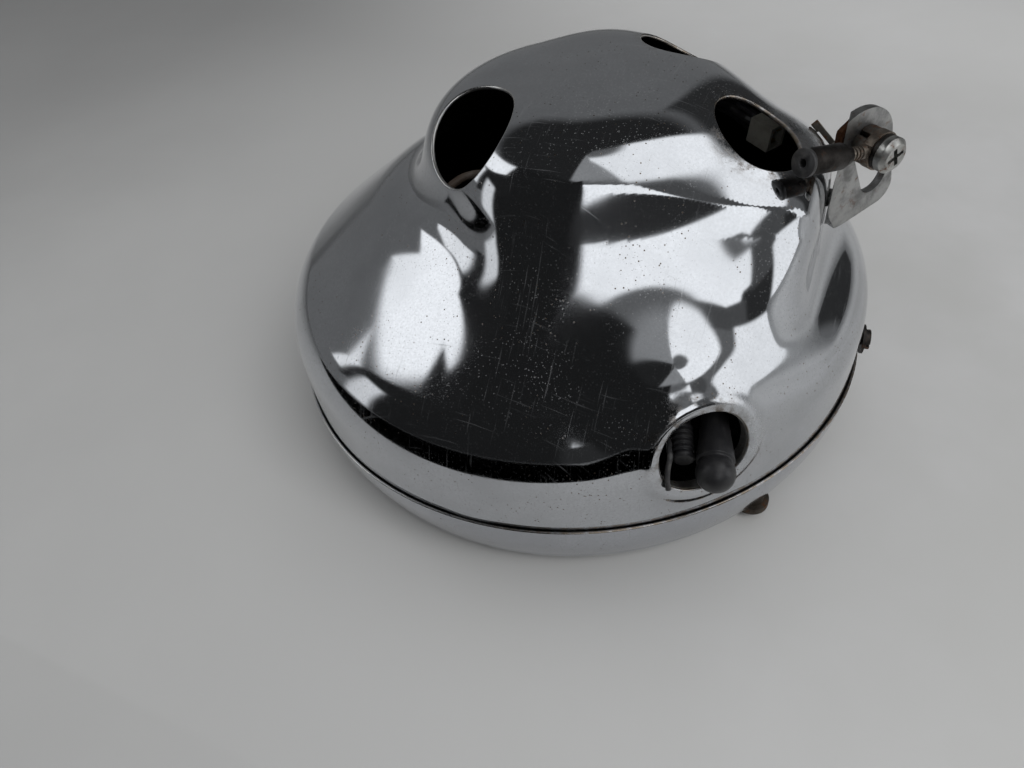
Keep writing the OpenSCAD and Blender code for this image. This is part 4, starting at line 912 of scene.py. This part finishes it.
def make_spring():
    """The aiming spring: a smooth-shaded copy of the CAD coil, in place of the node."""
    mesh = nodes["aim_spring"].data.copy()
    spring = bpy.data.objects.new("aim_spring_coil", mesh)
    bpy.context.scene.collection.objects.link(spring)
    mesh.polygons.foreach_set("use_smooth", [True] * len(mesh.polygons))
    mesh.materials.clear()
    mesh.materials.append(materials["spring_steel"])
    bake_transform(spring)
    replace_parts(spring, "aim_spring")


# Leads and sleeves


def sleeve_axes(at, direction):
    along = heading(*direction)
    return np.array(at, float), along, unit(np.cross([0, 0, 1.0], along))


def make_sleeves():
    rises = [math.radians(a) for a in range(-90, 31, 8)]
    dome = [(NOSE_R * math.sin(a), NOSE_R * math.cos(a)) for a in rises]
    body = [
        (NOSE_R / 2 + 0.1, NOSE_R - 0.7), (NOSE_R / 2 + 0.6, NOSE_R - 0.7), (NOSE_R / 2 + 1, NOSE_R - 0.1),
        (12, NOSE_R - 1), (20, NOSE_R - 1.8), (SLEEVE_L, LEAD_D / 2 + 1), (SLEEVE_L, LEAD_D / 2),
    ]
    axes = sleeve_axes(SLEEVE_AT, SLEEVE_DIR)
    long_sleeve = lathe("sleeve_long_skin", dome + body, "black_rubber", "shell", axes, 0.2)
    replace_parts(long_sleeve, "sleeve_long")
    ribs = [(-1, 0.2), (-1, SHORT_R - 0.7)]
    for i in range(6):
        x = -0.4 + 1.8 * i
        ribs += [(x, SHORT_R), (x + 0.7, SHORT_R), (x + 0.9, SHORT_R - 0.55), (x + 1.5, SHORT_R - 0.55)]
    ribs += [(SHORT_L, SHORT_R - 0.5), (SHORT_L, LEAD_D / 2)]
    axes = sleeve_axes(SHORT_AT, SHORT_DIR)
    short = lathe("sleeve_short_skin", ribs, "black_rubber", "shell", axes, 0.2)
    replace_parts(short, "sleeve_short")


def make_leads():
    start = (JOINT_AT[0] - JOINT_SIZE[0] / 2 - 0.05, HANGING_RUN[0][1], HANGING_RUN[0][2])
    lead, path = tube("hanging_lead_tube", [start] + HANGING_RUN, LEAD_D / 2, "brown_lead", "shell")
    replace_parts(lead, "hanging_lead")
    bullet = softened("bullet_end", "brass", 0.15)
    tail, _ = tube("tie_tail_strip", TIE_RUN, 0.75, "black_plastic", "shell", 12)
    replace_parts(tail, "tie_tail")


# Everything else keeps its CAD shape


def finish_nodes():
    for name, obj in nodes.items():
        obj.data.materials.clear()
        obj.data.materials.append(materials[SLOTS[name]])


# Stage


def world_panel(s, turn, rise, panel, slant, soft):
    """1 inside a panel of the surroundings, given by its turns and rises in degrees."""
    t0, t1, r0, r1 = panel
    wrapped = s.maths("MODULO", s.maths("ADD", s.maths("SUBTRACT", turn, (t0 + t1) / 2), 900.0), 360.0)
    aside = s.maths("SUBTRACT", wrapped, 180.0)
    over = s.maths("SUBTRACT", s.maths("SUBTRACT", rise, (r0 + r1) / 2), s.maths("MULTIPLY", aside, slant))
    width, height = (t1 - t0) / 2, (r1 - r0) / 2
    return s.maths(
        "MULTIPLY",
        s.ramp(s.maths("ABSOLUTE", aside, 0.0), width - soft, width + soft, 1.0, 0.0),
        s.ramp(s.maths("ABSOLUTE", over, 0.0), height - soft, height + soft, 1.0, 0.0),
    )


class WorldShade(Shade):
    def __init__(self):
        world = bpy.data.worlds.new("studio")
        bpy.context.scene.world = world
        world.use_nodes = True
        self.tree = world.node_tree
        self.at = self.node("ShaderNodeTexCoord").outputs["Generated"]
        self.background = self.tree.nodes["Background"]


# What lights the part, and what the camera sees behind it
PLAIN_LEVEL, BACKDROP_LEVEL = 0.36, 0.5
# Mirrored surroundings as (first turn, last turn, first rise, last rise, level, softness, slant), in degrees
BASE_LEVEL = 0.17
PANELS = [
    (50, 262, 48, 100, 0.024, 5, 0),
    (262, 335, 58, 100, 0.36, 5, 0),
    (322, 412, 47.5, 79, 1.4, 2.5, -0.14),
    (36, 86, -10, 44, 0.035, 2.5, 0),
    (215, 290.5, -12, 60, 0.016, 2.5, 0),
    (286, 352, -10, 23, 0.035, 2.5, 0),
    (176, 216, 33, 50, 1.5, 1.2, 0.36),
    (197, 232, 20, 44, 0.018, 1, 0.7),
    (190, 196, 12, 30, 1.3, 1, 0),
    (203, 214, 0, 26, 1.0, 2, 0),
    (290.5, 326, 23, 48, 1.5, 1.4, 0.1),
    (326, 352, 20, 49, 0.1, 3, 0),
    (350, 385, -4, 34, 1.3, 2.5, 0),
]


def make_world():
    s = WorldShade()
    split = s.node("ShaderNodeSeparateXYZ")
    s.link(s.at, split.inputs[0])
    x, y, z = split.outputs
    turn = s.maths("MULTIPLY", s.maths("ARCTAN2", y, x), 180 / math.pi)
    rise = s.maths("MULTIPLY", s.maths("ARCSINE", z, 0.0), 180 / math.pi)
    level = BASE_LEVEL
    for *panel, strength, soft, slant in PANELS:
        inside = world_panel(s, turn, rise, panel, slant, soft)
        level = s.maths("ADD", level, s.maths("MULTIPLY", inside, s.maths("SUBTRACT", strength, level)))
    rays = s.node("ShaderNodeLightPath").outputs
    mirrored = s.maths("MAXIMUM", rays["Is Glossy Ray"], rays["Is Transmission Ray"])
    over = s.maths("SUBTRACT", level, PLAIN_LEVEL)
    shown = s.maths("ADD", PLAIN_LEVEL, s.maths("MULTIPLY", mirrored, over))
    behind = s.maths("SUBTRACT", BACKDROP_LEVEL, shown)
    shown = s.maths("ADD", shown, s.maths("MULTIPLY", rays["Is Camera Ray"], behind))
    s.link(shown, s.background.inputs["Strength"])
    s.background.inputs["Color"].default_value = (0.97, 0.985, 1.0, 1)


def make_floor():
    s = Shade("pale_bench", (0.36, 0.36, 0.35), roughness=0.5)
    mottle = s.ramp(s.noise(9, 5, 0.6), 0.3, 0.7)
    # Painted light: the bench's colour grows lighter towards the right and towards the back, where more light
    # falls; only the mottle is the bench's own tone.
    left = s.mix(mottle, (0.335, 0.335, 0.332), (0.355, 0.355, 0.352))
    middle = s.mix(mottle, (0.345, 0.345, 0.34), (0.37, 0.37, 0.363))
    right = s.mix(mottle, (0.43, 0.43, 0.43), middle)
    bench = s.mix(s.ramp(s.along((0.866, 0.5, 0)), -260, 300), left, right)
    bench = s.mix(s.ramp(s.along((0.3, 1, 0)), 180, 420, 0.0, 0.7), bench, (0.6, 0.6, 0.595))
    # Painted shade: the far left of the bench is painted dark.
    far_left_painted_shade = s.ramp(s.along((-1.28, 0.416, 0)), 250, 750, 0.0, 0.5)
    s.color(s.mix(far_left_painted_shade, bench, (0.1, 0.1, 0.1)))
    s.bump(s.noise(900, 3), 0.02, 0.4)
    mesh = bpy.data.meshes.new("floor")
    half = 4.0
    corners = [(-half, -half, 0), (half, -half, 0), (half, half, 0), (-half, half, 0)]
    mesh.from_pydata(corners, [], [(0, 1, 2, 3)])
    mesh.materials.append(s.material)
    floor = bpy.data.objects.new("floor", mesh)
    bpy.context.scene.collection.objects.link(floor)


def make_flag():
    """A black card that the chrome mirrors in front of the lamp, out of the camera's sight."""
    s = Shade("flag_black", (0.0, 0.0, 0.0), roughness=1.0, Specular_IOR_Level=0.0)
    mesh = bpy.data.meshes.new("flag")
    corners = [(-900, -168, 0.5), (260, -168, 0.5), (700, -2400, 0.5), (-2400, -2400, 0.5)]
    mesh.from_pydata([tuple(c * MM for c in p) for p in corners], [], [(0, 1, 2, 3)])
    mesh.materials.append(s.material)
    flag = bpy.data.objects.new("flag", mesh)
    bpy.context.scene.collection.objects.link(flag)
    flag.visible_camera = False
    flag.visible_diffuse = False
    flag.visible_shadow = False


def area_light(name, at, aim, size, power):
    data = bpy.data.lights.new(name, "AREA")
    data.shape = "RECTANGLE"
    data.size, data.size_y = size
    data.energy = power
    obj = bpy.data.objects.new(name, data)
    bpy.context.scene.collection.objects.link(obj)
    obj.location = at
    obj.rotation_euler = (Vector(aim) - Vector(at)).to_track_quat("-Z", "Y").to_euler()
    obj.visible_glossy = False


def make_lights():
    area_light("window_right", (0.5, -0.3, 0.6), (0, 0, 0.03), (0.45, 0.4), 4.6)
    area_light("window_left", (-0.75, 0.0, 0.5), (0, 0, 0.03), (0.6, 0.4), 1.3)
    area_light("fill_above", (0.1, 0.2, 0.9), (0, 0, 0), (0.8, 0.8), 2.4)


SLOTS = {part["node"]: part["material_slot"] for part in frame["record"]["subparts"]}
make_camera()
materials = make_materials()
make_leads()
finish_nodes()
make_bucket()
make_rim()
make_adjuster()
make_spring()
make_sleeves()
make_world()
make_floor()
make_flag()
make_lights()

scene = bpy.context.scene
scene.view_settings.view_transform = "Standard"
